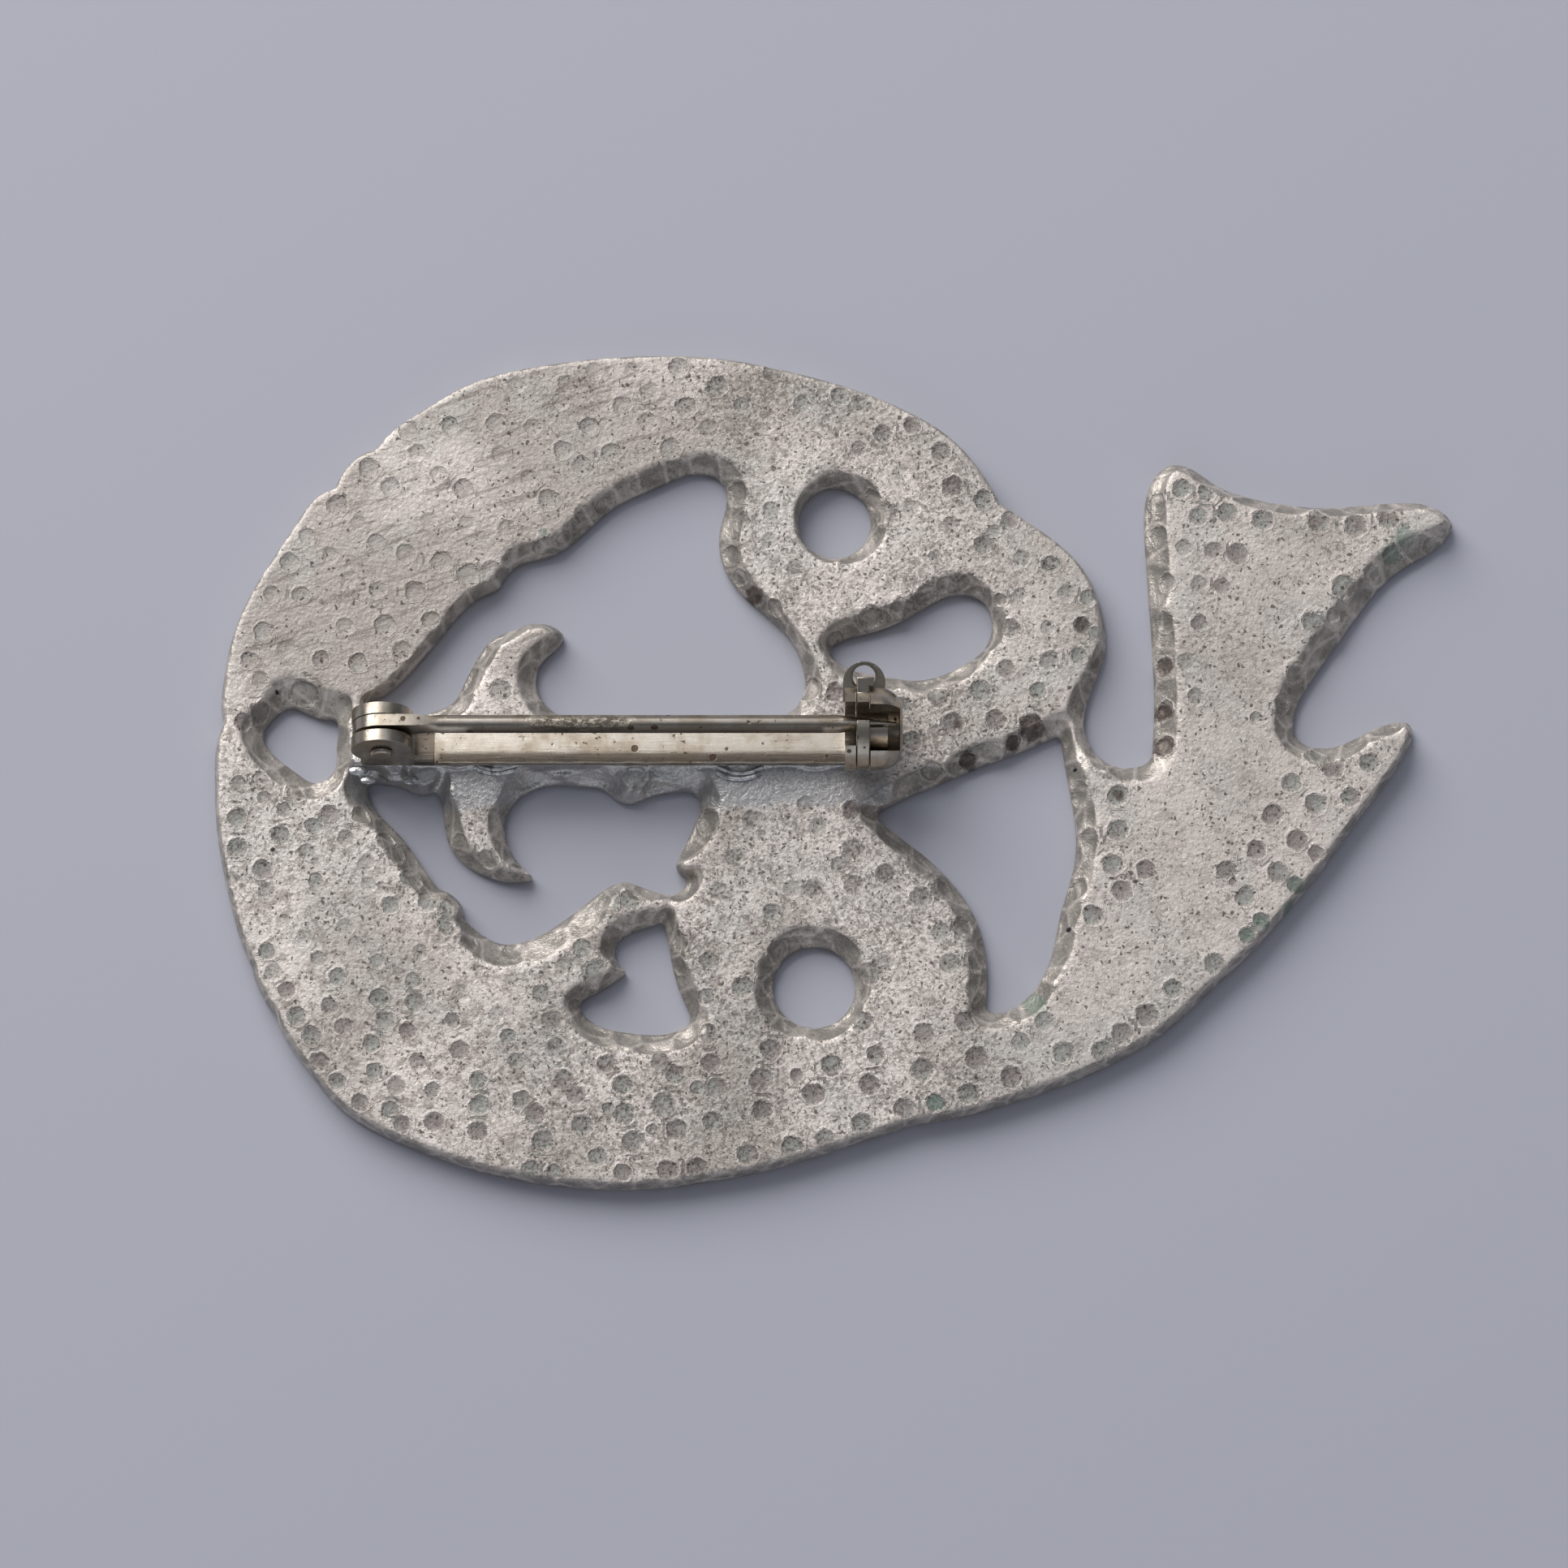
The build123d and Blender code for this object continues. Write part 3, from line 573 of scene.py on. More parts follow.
MARK_WINDOWS = (
    MarkWindow(250.0, 1000.0, 3.92, (
        (165, 30, 1.0, 1.0), (170, 175, 1.0, 1.0), (375, 115, 1.0, 1.0), (535, 70, 0.9, 1.0),
        (610, 5, 0.9, 0.8), (690, 130, 0.9, 0.6), (290, 280, 1.0, 0.9), (140, 325, 0.8, 0.5),
        (500, 195, 0.8, 0.5), (790, 245, 0.9, 0.5), (545, 335, 0.8, 0.6), (310, 385, 0.9, 0.5),
        (800, 350, 0.8, 0.4), (905, 450, 0.9, 0.8), (390, 530, 0.8, 0.4), (690, 560, 0.9, 0.4),
        (310, 675, 0.9, 0.9), (490, 610, 0.8, 0.4), (560, 710, 0.8, 0.6), (340, 780, 0.9, 0.5),
        (650, 800, 0.9, 0.8), (740, 640, 0.8, 0.4), (405, 865, 0.9, 0.8), (845, 725, 0.8, 0.5),
        (1050, 680, 0.8, 0.4), (850, 905, 1.0, 1.0), (1015, 820, 0.9, 0.5), (1025, 920, 1.0, 0.8),
        (455, 990, 1.0, 0.8), (610, 940, 0.9, 0.7), (880, 1010, 1.0, 0.7), (680, 1040, 0.9, 0.6),
        (990, 1060, 0.9, 0.8), (1205, 1010, 0.8, 0.9), (1250, 880, 0.9, 0.4), (1420, 980, 0.9, 0.4),
        (1475, 1085, 0.8, 0.9), (525, 1085, 1.0, 1.0), (815, 1120, 0.9, 0.9), (1240, 1150, 1.0, 0.8),
        (565, 1210, 1.0, 0.9), (830, 1255, 0.9, 0.8), (1040, 1210, 0.9, 0.6), (650, 1305, 0.9, 0.8),
        (935, 1330, 1.0, 0.6), (1110, 1345, 0.8, 0.7), (1330, 1295, 0.9, 1.0),
        (1510, 1200, 0.8, 0.6), (760, 1405, 0.9, 0.9), (905, 1440, 0.9, 1.0),
        (1335, 1415, 1.0, 0.9), (1540, 1390, 0.9, 0.8), (960, 1510, 0.9, 1.1),
        (1115, 1500, 1.0, 1.1), (1330, 1545, 1.0, 1.0), (1490, 820, 0.8, 0.3),
        (885, 140, 1.1, 0.9), (930, 200, 1.1, 0.9), (1010, 320, 1.2, 0.9), (1095, 425, 1.2, 0.9),
        (1195, 450, 1.0, 0.9), (1185, 545, 1.1, 0.8), (1280, 630, 1.0, 0.5),
        (1495, 660, 1.1, 0.5), (760, 15, 1.0, 0.8), (1245, 150, 1.1, 0.9), (1375, 230, 1.1, 0.9),
    )),
    MarkWindow(560.0, 440.0, 5.227, (
        (265, 425, 1.0, 0.7), (870, 445, 1.0, 1.0), (505, 450, 0.9, 0.5), (680, 290, 0.9, 0.4),
        (1080, 315, 1.0, 0.6), (1260, 225, 1.0, 0.5), (1440, 65, 1.0, 0.8), (1490, 320, 1.1, 0.8),
        (1240, 420, 1.0, 0.5), (700, 600, 1.0, 0.7), (1010, 620, 1.0, 0.7), (820, 700, 1.0, 0.6),
        (1390, 590, 1.1, 0.7), (610, 920, 1.1, 0.9), (480, 780, 0.9, 0.4), (290, 630, 0.9, 0.4),
        (340, 1110, 1.0, 0.5), (80, 1080, 0.9, 0.4), (240, 1380, 1.1, 0.7), (575, 1210, 1.2, 1.0),
        (700, 1150, 0.9, 0.8), (830, 1000, 1.0, 1.0), (960, 940, 1.0, 1.0), (720, 170, 0.9, 0.6),
        (400, 180, 0.9, 0.4), (1190, 800, 0.9, 0.6), (900, 90, 0.9, 0.4), (1150, 90, 0.9, 0.4),
    )),
    MarkWindow(1380.0, 560.0, 3.92, (
        (185, 220, 1.1, 1.0), (300, 165, 1.0, 0.9), (420, 185, 0.9, 0.8), (185, 380, 1.1, 1.1),
        (380, 300, 1.0, 0.7), (520, 280, 1.1, 0.9), (690, 315, 1.1, 0.9), (960, 325, 1.2, 0.8),
        (1140, 345, 1.2, 0.9), (1300, 310, 1.1, 0.9), (310, 450, 0.9, 0.5), (450, 460, 0.9, 0.7),
        (570, 480, 1.1, 0.8), (225, 615, 1.0, 1.2), (380, 625, 0.9, 0.6), (495, 635, 0.9, 0.6),
        (220, 805, 1.0, 1.2), (385, 815, 0.9, 0.8), (215, 1015, 1.0, 1.2), (320, 1005, 1.0, 0.5),
        (220, 1215, 0.9, 1.2), (370, 1170, 0.9, 0.6), (1085, 640, 1.3, 1.1), (930, 810, 1.1, 1.1),
        (1030, 770, 0.8, 0.6), (850, 1045, 1.1, 1.2), (790, 1195, 1.1, 0.9), (1320, 480, 1.2, 0.7),
        (1515, 420, 1.0, 0.6), (1030, 1500, 1.1, 0.9), (1205, 1490, 1.0, 1.0), (1220, 560, 1.0, 0.6),
    )),
    MarkWindow(190.0, 430.0, 3.92, (
        (1430, 370, 0.9, 0.9), (1225, 390, 1.0, 0.8), (1270, 500, 0.9, 0.6), (1040, 580, 1.1, 0.8),
        (1140, 665, 1.0, 0.7), (885, 755, 1.1, 0.8), (985, 835, 0.8, 0.4), (740, 905, 0.9, 0.6),
        (655, 1030, 1.0, 0.8), (850, 1000, 0.9, 0.4), (1075, 930, 0.9, 0.6), (1215, 990, 1.0, 0.6),
        (1385, 1025, 1.1, 0.8), (1330, 830, 0.9, 0.4), (1375, 605, 0.9, 0.5), (1495, 680, 1.1, 0.8),
        (945, 1110, 0.9, 0.3), (1080, 1165, 0.9, 0.5), (1260, 1170, 1.1, 0.8), (710, 1190, 0.9, 0.7),
        (570, 1185, 0.9, 0.6), (525, 1365, 1.0, 0.9), (925, 1340, 0.9, 0.5), (1115, 1335, 1.1, 0.8),
        (1340, 1310, 1.0, 1.1), (635, 1445, 0.9, 0.5), (460, 1500, 0.9, 0.8), (805, 1500, 0.9, 1.0),
        (985, 1515, 1.0, 0.9), (1195, 1460, 1.0, 0.6), (1520, 1090, 1.2, 0.8),
    )),
    MarkWindow(230.0, 780.0, 3.92, (
        (370, 5, 0.9, 0.8), (485, 70, 0.9, 0.4), (355, 225, 0.9, 0.6), (250, 725, 0.8, 0.6),
        (355, 705, 0.8, 0.5), (375, 795, 0.7, 0.6), (525, 770, 1.0, 0.6), (470, 855, 0.8, 0.7),
        (1510, 280, 1.1, 0.7), (560, 285, 1.5, 1.2), (345, 375, 1.2, 1.0), (275, 430, 1.0, 0.8),
    )),
    MarkWindow(590.0, 430.0, 3.92, (
        (1150, 180, 1.1, 0.9), (1415, 110, 1.0, 0.9), (1560, 265, 0.9, 0.6), (1110, 385, 1.0, 0.5),
        (1270, 270, 0.8, 0.5), (1365, 395, 0.9, 0.3), (1415, 785, 1.0, 0.5), (1405, 930, 0.9, 0.4),
        (1430, 1250, 1.0, 1.0), (1265, 830, 1.0, 0.6), (1330, 1180, 1.1, 0.8), (1250, 690, 1.3, 1.0),
        (1215, 985, 1.1, 0.9), (1260, 1090, 1.0, 0.7), (1530, 1060, 0.9, 0.4),
    )),
    MarkWindow(990.0, 430.0, 3.92, (
        (180, 230, 1.0, 0.6), (290, 265, 1.0, 0.5), (385, 410, 1.0, 0.7), (525, 370, 0.9, 1.0),
        (265, 485, 0.9, 0.5), (665, 495, 1.0, 0.8), (475, 600, 0.9, 0.3), (720, 665, 1.1, 0.9),
        (870, 725, 1.0, 1.4), (525, 770, 0.9, 0.4), (715, 850, 0.9, 0.5), (1000, 825, 0.9, 0.9),
        (920, 880, 0.7, 0.5), (870, 945, 1.0, 1.2), (1055, 1010, 0.9, 0.5), (1195, 1040, 0.9, 0.9),
        (640, 1010, 0.8, 0.5), (210, 1045, 0.9, 0.4), (870, 1080, 0.8, 0.3), (1045, 1190, 0.8, 0.5),
        (950, 1210, 0.7, 1.2), (1270, 1180, 0.9, 0.5), (1380, 1200, 0.9, 0.9), (1345, 1335, 0.9, 1.5),
        (1000, 1350, 1.0, 1.2), (1180, 1345, 0.8, 0.5), (1330, 1480, 0.9, 0.9), (1410, 1375, 0.7, 0.8),
        (1415, 1500, 0.8, 0.8), (1190, 1505, 1.0, 0.7), (400, 800, 1.3, 0.9), (590, 1180, 1.2, 0.9),
        (800, 1130, 1.3, 1.1), (330, 1290, 1.3, 1.1), (470, 1240, 1.2, 0.9), (150, 1390, 1.1, 1.1),
        (340, 720, 1.1, 0.9), (690, 1130, 1.0, 0.9),
    )),
    MarkWindow(1180.0, 800.0, 3.92, (
        (235, 95, 1.0, 0.7), (110, 200, 1.1, 0.9), (390, 200, 0.9, 0.9), (185, 345, 1.1, 0.9),
        (775, 705, 1.1, 1.0), (595, 690, 1.3, 0.9), (635, 920, 1.3, 0.7), (775, 875, 1.1, 1.0),
        (750, 1040, 1.1, 1.0), (910, 1065, 1.0, 0.8), (795, 1165, 1.1, 0.7), (655, 1285, 1.1, 0.9),
        (580, 1150, 1.2, 0.9), (1445, 330, 0.6, 0.6), (360, 370, 1.3, 1.2), (270, 440, 0.9, 1.4),
        (50, 530, 0.9, 1.3), (1000, 460, 1.1, 1.6),
    )),
    MarkWindow(650.0, 1050.0, 3.92, (
        (925, 190, 1.0, 0.5), (1000, 30, 1.0, 0.5), (960, 350, 0.9, 0.3), (880, 525, 1.0, 0.6),
        (265, 465, 1.0, 0.7), (185, 550, 1.0, 0.4), (70, 690, 1.0, 0.6), (120, 815, 1.1, 0.6),
        (1120, 430, 0.9, 0.3), (1040, 650, 1.1, 0.9), (860, 700, 0.9, 0.7), (1100, 800, 1.0, 0.5),
        (870, 875, 1.0, 0.9), (1175, 955, 1.1, 0.9), (885, 1020, 1.0, 0.9), (640, 1010, 0.9, 0.8),
        (380, 1020, 0.9, 0.8), (140, 950, 1.1, 0.6), (710, 1075, 1.0, 0.8), (180, 1100, 1.0, 0.7),
        (460, 1125, 1.0, 1.0), (230, 1175, 0.9, 0.7), (915, 1140, 1.1, 0.8), (1130, 1100, 1.2, 0.7),
        (1470, 1030, 1.1, 0.9), (1385, 1170, 1.1, 1.0), (1300, 1080, 0.7, 1.0), (660, 1220, 1.2, 0.9),
        (465, 1265, 1.1, 0.9), (265, 1320, 1.1, 1.1), (35, 1265, 1.1, 0.9), (1135, 1250, 1.1, 1.0),
        (895, 1300, 1.0, 1.2), (720, 1340, 1.1, 1.1), (510, 1400, 1.1, 1.1), (75, 1395, 1.1, 1.1),
        (340, 1475, 1.0, 0.7), (1065, 1460, 1.1, 1.1), (1280, 1425, 1.1, 1.0), (1440, 1385, 1.0, 1.1),
        (820, 1525, 1.1, 1.1), (675, 1540, 1.1, 0.9), (460, 1550, 0.9, 0.9), (125, 1545, 0.8, 0.9),
        (15, 1530, 0.9, 0.9), (1380, 180, 1.0, 0.6), (1180, 290, 0.9, 0.7), (820, 1140, 0.7, 0.8),
        (600, 1340, 0.6, 0.7), (390, 1235, 0.6, 0.9), (340, 590, 1.5, 0.9), (230, 750, 1.1, 0.6),
        (730, 430, 1.1, 0.8), (735, 540, 1.0, 0.7), (400, 240, 1.0, 0.7), (500, 225, 1.1, 0.7),
        (1200, 470, 1.3, 0.8), (1140, 640, 1.2, 0.7), (1200, 820, 1.2, 0.7),
    )),
    MarkWindow(1050.0, 1080.0, 3.92, (
        (440, 60, 1.2, 0.9), (540, 240, 1.2, 1.1), (605, 400, 1.2, 1.2), (595, 540, 1.2, 0.9),
        (335, 100, 1.1, 0.7), (430, 270, 1.0, 0.6), (475, 425, 1.1, 0.6), (550, 700, 1.1, 0.8),
        (350, 760, 1.1, 0.7), (600, 880, 1.2, 1.1), (340, 935, 1.2, 1.1), (115, 860, 1.0, 0.8),
        (85, 1005, 1.1, 1.0), (55, 700, 1.0, 0.9), (255, 1120, 1.1, 0.8), (405, 1095, 1.0, 1.0),
        (565, 1050, 1.1, 1.0), (770, 970, 1.1, 1.1), (815, 800, 1.0, 0.6), (930, 700, 1.0, 0.7),
        (1025, 850, 1.1, 1.0), (1210, 845, 1.1, 1.1), (1305, 760, 1.1, 1.0), (1425, 675, 1.2, 1.1),
        (50, 1195, 1.1, 1.1), (1550, 545, 1.0, 0.9), (85, 470, 1.2, 0.8), (160, 420, 0.9, 0.4),
    )),
    MarkWindow(1440.0, 860.0, 4.356, (
        (660, 455, 1.0, 1.0), (790, 570, 1.1, 1.0), (885, 375, 1.1, 1.2), (1078, 350, 1.0, 1.2),
        (978, 535, 1.0, 1.0), (560, 625, 1.1, 0.9), (690, 765, 1.1, 1.0), (470, 815, 1.0, 1.0),
        (793, 835, 0.9, 0.9), (315, 930, 1.1, 0.9), (590, 940, 1.1, 0.9), (680, 1005, 0.9, 0.8),
        (410, 1065, 1.1, 1.0), (500, 1200, 0.9, 0.9), (425, 1275, 0.9, 0.9), (250, 1430, 1.1, 1.1),
        (470, 105, 0.6, 0.8), (345, 985, 0.4, 0.9), (790, 310, 1.1, 0.9),
    )),
    MarkWindow(880.0, 790.0, 4.356, (
        (650, 275, 1.0, 0.8), (1205, 300, 1.1, 0.9), (1285, 440, 1.1, 1.0), (1060, 535, 1.0, 1.0),
        (1010, 350, 1.0, 0.7), (1185, 490, 0.8, 0.4), (205, 960, 1.0, 0.5), (740, 905, 1.0, 0.9),
        (560, 1000, 1.0, 0.5), (750, 1120, 1.1, 0.6), (680, 1200, 1.0, 0.6), (750, 1310, 1.0, 0.6),
        (920, 1250, 1.0, 0.7), (420, 1330, 0.9, 0.5), (490, 880, 0.9, 0.5), (1095, 1195, 1.3, 0.7),
        (520, 250, 1.3, 0.8), (1170, 690, 1.2, 1.0),
    )),
    MarkWindow(540.0, 790.0, 4.356, (
        (340, 265, 1.1, 0.8), (440, 1230, 1.3, 0.9), (1455, 960, 1.3, 0.8), (900, 1400, 1.0, 0.7),
        (1060, 720, 1.2, 0.6),
    )),
)


class Stain(Enum):
    """A kind of small spot in the pewter."""

    RUST = "rust"
    VERDIGRIS = "verdigris"
    PINHOLE = "pinhole"


@dataclass(frozen=True)
class StainSpot:
    """One spot, charted on the photograph.

    Attributes:
        across: Its pixel column.
        down: Its pixel row.
        reach: Its radius, in millimetres.
        kind: What it is.
    """

    across: float
    down: float
    reach: float
    kind: Stain


STAIN_SPOTS = (
    StainSpot(1435.0, 819.0, 0.55, Stain.RUST),
    StainSpot(1435.0, 874.0, 0.6, Stain.RUST),
    StainSpot(1434.0, 917.0, 0.7, Stain.RUST),
    StainSpot(1333.0, 770.0, 0.5, Stain.RUST),
    StainSpot(1271.0, 894.0, 0.9, Stain.RUST),
    StainSpot(1249.0, 912.0, 0.5, Stain.RUST),
    StainSpot(1193.0, 935.0, 0.6, Stain.RUST),
    StainSpot(929.0, 731.0, 0.6, Stain.RUST),
    StainSpot(1378.0, 980.0, 0.4, Stain.RUST),
    StainSpot(1180.0, 892.0, 0.35, Stain.RUST),
    StainSpot(1596.0, 1090.0, 0.6, Stain.VERDIGRIS),
    StainSpot(1590.0, 1118.0, 0.5, Stain.VERDIGRIS),
    StainSpot(1555.0, 1136.0, 0.5, Stain.VERDIGRIS),
    StainSpot(1537.0, 1152.0, 0.5, Stain.VERDIGRIS),
    StainSpot(1730.0, 660.0, 0.7, Stain.VERDIGRIS),
    StainSpot(1715.0, 680.0, 0.6, Stain.VERDIGRIS),
    StainSpot(1153.0, 1359.0, 0.5, Stain.VERDIGRIS),
    StainSpot(1275.0, 1236.0, 0.8, Stain.VERDIGRIS),
    StainSpot(669.0, 656.0, 0.3, Stain.VERDIGRIS),
    StainSpot(336.0, 1047.0, 0.16, Stain.PINHOLE),
    StainSpot(341.0, 851.0, 0.14, Stain.PINHOLE),
    StainSpot(1317.0, 1144.0, 0.18, Stain.PINHOLE),
    StainSpot(1325.0, 946.0, 0.12, Stain.PINHOLE),
)


@dataclass(frozen=True)
class BrushedCorner:
    """The upper left of the back, which is brushed smooth and has finer marks.

    Attributes:
        across: Where it fades in along the brooch, in millimetres.
        up: Where it fades in across the brooch.
    """

    across: Step = (-3.0, -12.0)
    up: Step = (2.0, 8.0)

    def share(self, bench: MetalBench) -> Wire:
        """How far a point lies in it."""
        share = bench.ease(bench.axis(bench.place, "X"), *self.across)
        return share * bench.ease(bench.axis(bench.place, "Y"), *self.up)


@dataclass(frozen=True)
class OpenMetal:
    """The open metal of the back, with its patches, its fine net and its streaks.

    Attributes:
        worn: Its colour where it is rubbed pale.
        dull: Its colour where it is not.
        cool: Its greener patches.
        crackle: The fine grey net over it.
        streak: The fine drawn streaks in the brushed corner.
        worn_patches: Where it is rubbed.
        corner_wear: What the brushed corner adds to that pattern, which leaves it duller.
        worn_fall: Where the wear fades towards the tail, in millimetres.
        worn_loss: How much of it goes there.
        cool_patches: Where it is greener.
        cool_shift: How far that pattern is moved, so that it differs from the others.
        cool_cover: How far the greener colour covers it.
        net: Where the net lies.
        net_cover: How far the net covers it.
        net_rise: Where the net grows stronger towards the left.
        net_gain: How much stronger it grows there.
        net_corner: How much of it the brushed corner lacks.
        lines: The streaks, across a point that is drawn out along them.
        lines_turn: How far they are turned, in degrees.
        lines_drawn: How a point is drawn out along them.
        lines_cover: How far they cover it.
    """

    worn: Colour = RUBBED_PEWTER
    dull: Colour = srgb(190, 179, 169)
    cool: Colour = srgb(198, 196, 188)
    crackle: Colour = srgb(146, 133, 123)
    streak: Colour = srgb(130, 116, 108)
    worn_patches: Grain = Grain(0.1, 2.0, 0.5, 0.28, 0.56)
    corner_wear: float = -0.25
    worn_fall: Step = (2.0, 12.0)
    worn_loss: float = 0.4
    cool_patches: Grain = Grain(0.24, 2.0, 0.5, 0.45, 0.66)
    cool_shift: tuple[float, float, float] = (40.0, 0.0, 0.0)
    cool_cover: float = 0.4
    net: Grain = Grain(1.4, 4.0, 0.75, 0.49, 0.59)
    net_cover: float = 0.36
    net_rise: Step = (2.0, -10.0)
    net_gain: float = 0.24
    net_corner: float = 0.28
    lines: Grain = Grain(1.0, 3.0, 0.6, 0.54, 0.66)
    lines_turn: float = -20.0
    lines_drawn: tuple[float, float, float] = (0.22, 2.2, 1.0)
    lines_cover: float = 0.6

    def colour(self, bench: MetalBench, corner: Wire) -> Wire:
        """The colour of a point.

        Args:
            bench: The material's bench.
            corner: How far the point lies in the brushed corner.

        Returns:
            The colour.
        """
        across = bench.axis(bench.place, "X")
        worn = bench.grain(bench.place, self.worn_patches, corner * self.corner_wear)
        worn = worn * (1.0 - bench.ease(across, *self.worn_fall) * self.worn_loss)
        base = bench.blend(worn, self.dull, self.worn)
        moved = bench.vector("ADD", bench.place, self.cool_shift)
        cool = bench.grain(moved, self.cool_patches) * self.cool_cover
        base = bench.blend(cool, base, self.cool)
        net_cover = self.net_cover + bench.ease(across, *self.net_rise) * self.net_gain
        net_cover = net_cover - corner * self.net_corner
        base = bench.blend(bench.grain(bench.place, self.net) * net_cover, base, self.crackle)
        turn = {"Vector": bench.place, "Angle": math.radians(self.lines_turn)}
        turned = bench.out("ShaderNodeVectorRotate", {"rotation_type": "Z_AXIS"}, turn)
        drawn = bench.vector("MULTIPLY", turned, self.lines_drawn)
        lines = bench.grain(drawn, self.lines) * corner
        return bench.blend(lines * self.lines_cover, base, self.streak)


@dataclass(frozen=True)
class PunchMarks:
    """The floors of the punch marks and the pale rings round them.

    Attributes:
        floor: The bottom of a mark.
        brown: The same where dirt lies in it.
        speck: A speck on it.
        dirt: Where the dirt lies.
        speckle: Where the specks lie.
        speckle_cover: How far they cover the floor.
        wobble: The pattern that makes a mark's edge ragged.
        wobble_reach: How far the edge strays, in shares of the mark's radius.
        edge: Where the floor begins and is full, in the same shares.
        ring: The ring round it, in the same shares.
        floor_depths: The shares of depth between which the floor appears.
        ring_depths: The shares of depth between which the ring appears.
    """

    floor: Colour = srgb(156, 156, 148)
    brown: Colour = srgb(142, 131, 126)
    speck: Colour = PIT_BROWN
    dirt: Grain = Grain(0.35, 1.0, 0.5, 0.42, 0.6)
    speckle: Grain = Grain(4.5, 3.0, 0.7, 0.48, 0.6)
    speckle_cover: float = 0.42
    wobble: Cloud = (1.7, 4.0, 0.75)
    wobble_reach: float = 1.1
    edge: Step = (1.08, 0.78)
    ring: Stretch = Stretch(0.94, 1.35, 0.16, 0.23)
    floor_depths: Step = (0.0, 0.9)
    ring_depths: Step = (0.2, 1.0)

    def shares(self, bench: MetalBench) -> tuple[Wire, Wire]:
        """How far a point lies on a mark's floor, and how far in the ring round it.

        Args:
            bench: The material's bench.

        Returns:
            The two shares.
        """
        near = bench.stored("mark_near")
        depth = bench.stored("mark_depth")
        wobble = bench.noise(bench.place, *self.wobble) - CLOUD_MIDDLE
        reach = bench.vector("LENGTH", bench.stored("mark_offset", "Vector"), None, "Value")
        reach = reach + wobble * self.wobble_reach
        inside = bench.ease(reach, *self.edge) * near * bench.ease(depth, *self.floor_depths)
        ring = bench.within(reach, self.ring) * near
        return inside, ring * bench.ease(depth, *self.ring_depths)

    def colour(self, bench: MetalBench) -> Wire:
        """The colour of a mark's floor.

        Args:
            bench: The material's bench.

        Returns:
            The colour.
        """
        floor = bench.blend(bench.grain(bench.place, self.dirt), self.floor, self.brown)
        specks = bench.grain(bench.place, self.speckle) * self.speckle_cover
        return bench.blend(specks, floor, self.speck)


@dataclass(frozen=True)
class Pits:
    """The small dark pits and crumbs, which crowd in the middle of the brooch.

    Attributes:
        colour: The bottom of a pit.
        scale: Pits to the millimetre.
        shake_scale: How fine the pattern is that shakes their edges.
        shake_detail: How many finer layers it has.
        shake_reach: How far it shakes them, in millimetres.
        crowd: The pattern that they crowd in.
        crowd_rise: Where they grow thick from the left, in millimetres.
        crowd_gain: How much thicker they grow there.
        crowd_fall: Where they grow thin towards the tail.
        crowd_loss: How much thinner they grow there.
        corner_loss: How much thinner they are in the brushed corner.
        least: The radius of the smallest, as a share of a cell.
        spread: How much larger the largest are.
        edge: Where a pit begins and is full, in shares of its radius.
        chance: How much chance thins them out.
        chance_edge: The crowding between which a pit appears.
        crumbs: The fine crumbs.
        crumb_middle: The crowding at which they are as the pattern gives them.
        crumb_gain: How much the crowding adds to them.
        crumb_cover: How dark they are.
    """

    colour: Colour = PIT_BROWN
    scale: float = 3.4
    shake_scale: float = 2.6
    shake_detail: float = 2.0
    shake_reach: float = 0.55
    crowd: Cloud = (0.28, 2.0, 0.6)
    crowd_rise: Step = (-34.0, -4.0)
    crowd_gain: float = 0.24
    crowd_fall: Step = (6.0, 16.0)
    crowd_loss: float = 0.3
    corner_loss: float = 0.24
    least: float = 0.12
    spread: float = 0.32
    edge: Step = (1.0, 0.65)
    chance: float = 0.85
    chance_edge: Step = (-0.05, 0.05)
    crumbs: Grain = Grain(4.2, 3.0, 0.7, 0.52, 0.61)
    crumb_middle: float = 0.6
    crumb_gain: float = 0.22
    crumb_cover: float = 0.65

    def share(self, bench: MetalBench, corner: Wire) -> Wire:
        """How dark a point is.

        Args:
            bench: The material's bench.
            corner: How far the point lies in the brushed corner.

        Returns:
            The share.
        """
        shake = {"Vector": bench.place, "Scale": self.shake_scale, "Detail": self.shake_detail}
        shaken = bench.out("ShaderNodeTexNoise", None, shake, "Color")
        shaken = bench.vector("SUBTRACT", shaken, (CLOUD_MIDDLE, CLOUD_MIDDLE, CLOUD_MIDDLE))
        shaken = bench.vector("SCALE", shaken, self.shake_reach)
        shaken = bench.vector("ADD", bench.place, shaken)
        across = bench.axis(bench.place, "X")
        crowd = bench.noise(bench.place, *self.crowd)
        crowd = crowd + bench.ease(across, *self.crowd_rise) * self.crowd_gain
        crowd = crowd - bench.ease(across, *self.crowd_fall) * self.crowd_loss
        crowd = crowd - corner * self.corner_loss
        distance, chances = bench.cells(shaken, self.scale)
        parts = bench.node("ShaderNodeSeparateColor", None, {0: chances})
        chance = Wire(bench, parts.outputs["Red"])
        radius = self.least + Wire(bench, parts.outputs["Green"]) * self.spread
        spots = bench.ease(distance / radius, *self.edge)
        spots = spots * bench.ease(crowd - chance * self.chance, *self.chance_edge)
        gain = (crowd - self.crumb_middle) * self.crumb_gain
        crumbs = bench.grain(shaken, self.crumbs, gain) * self.crumb_cover
        return bench.math("MAXIMUM", spots, crumbs)


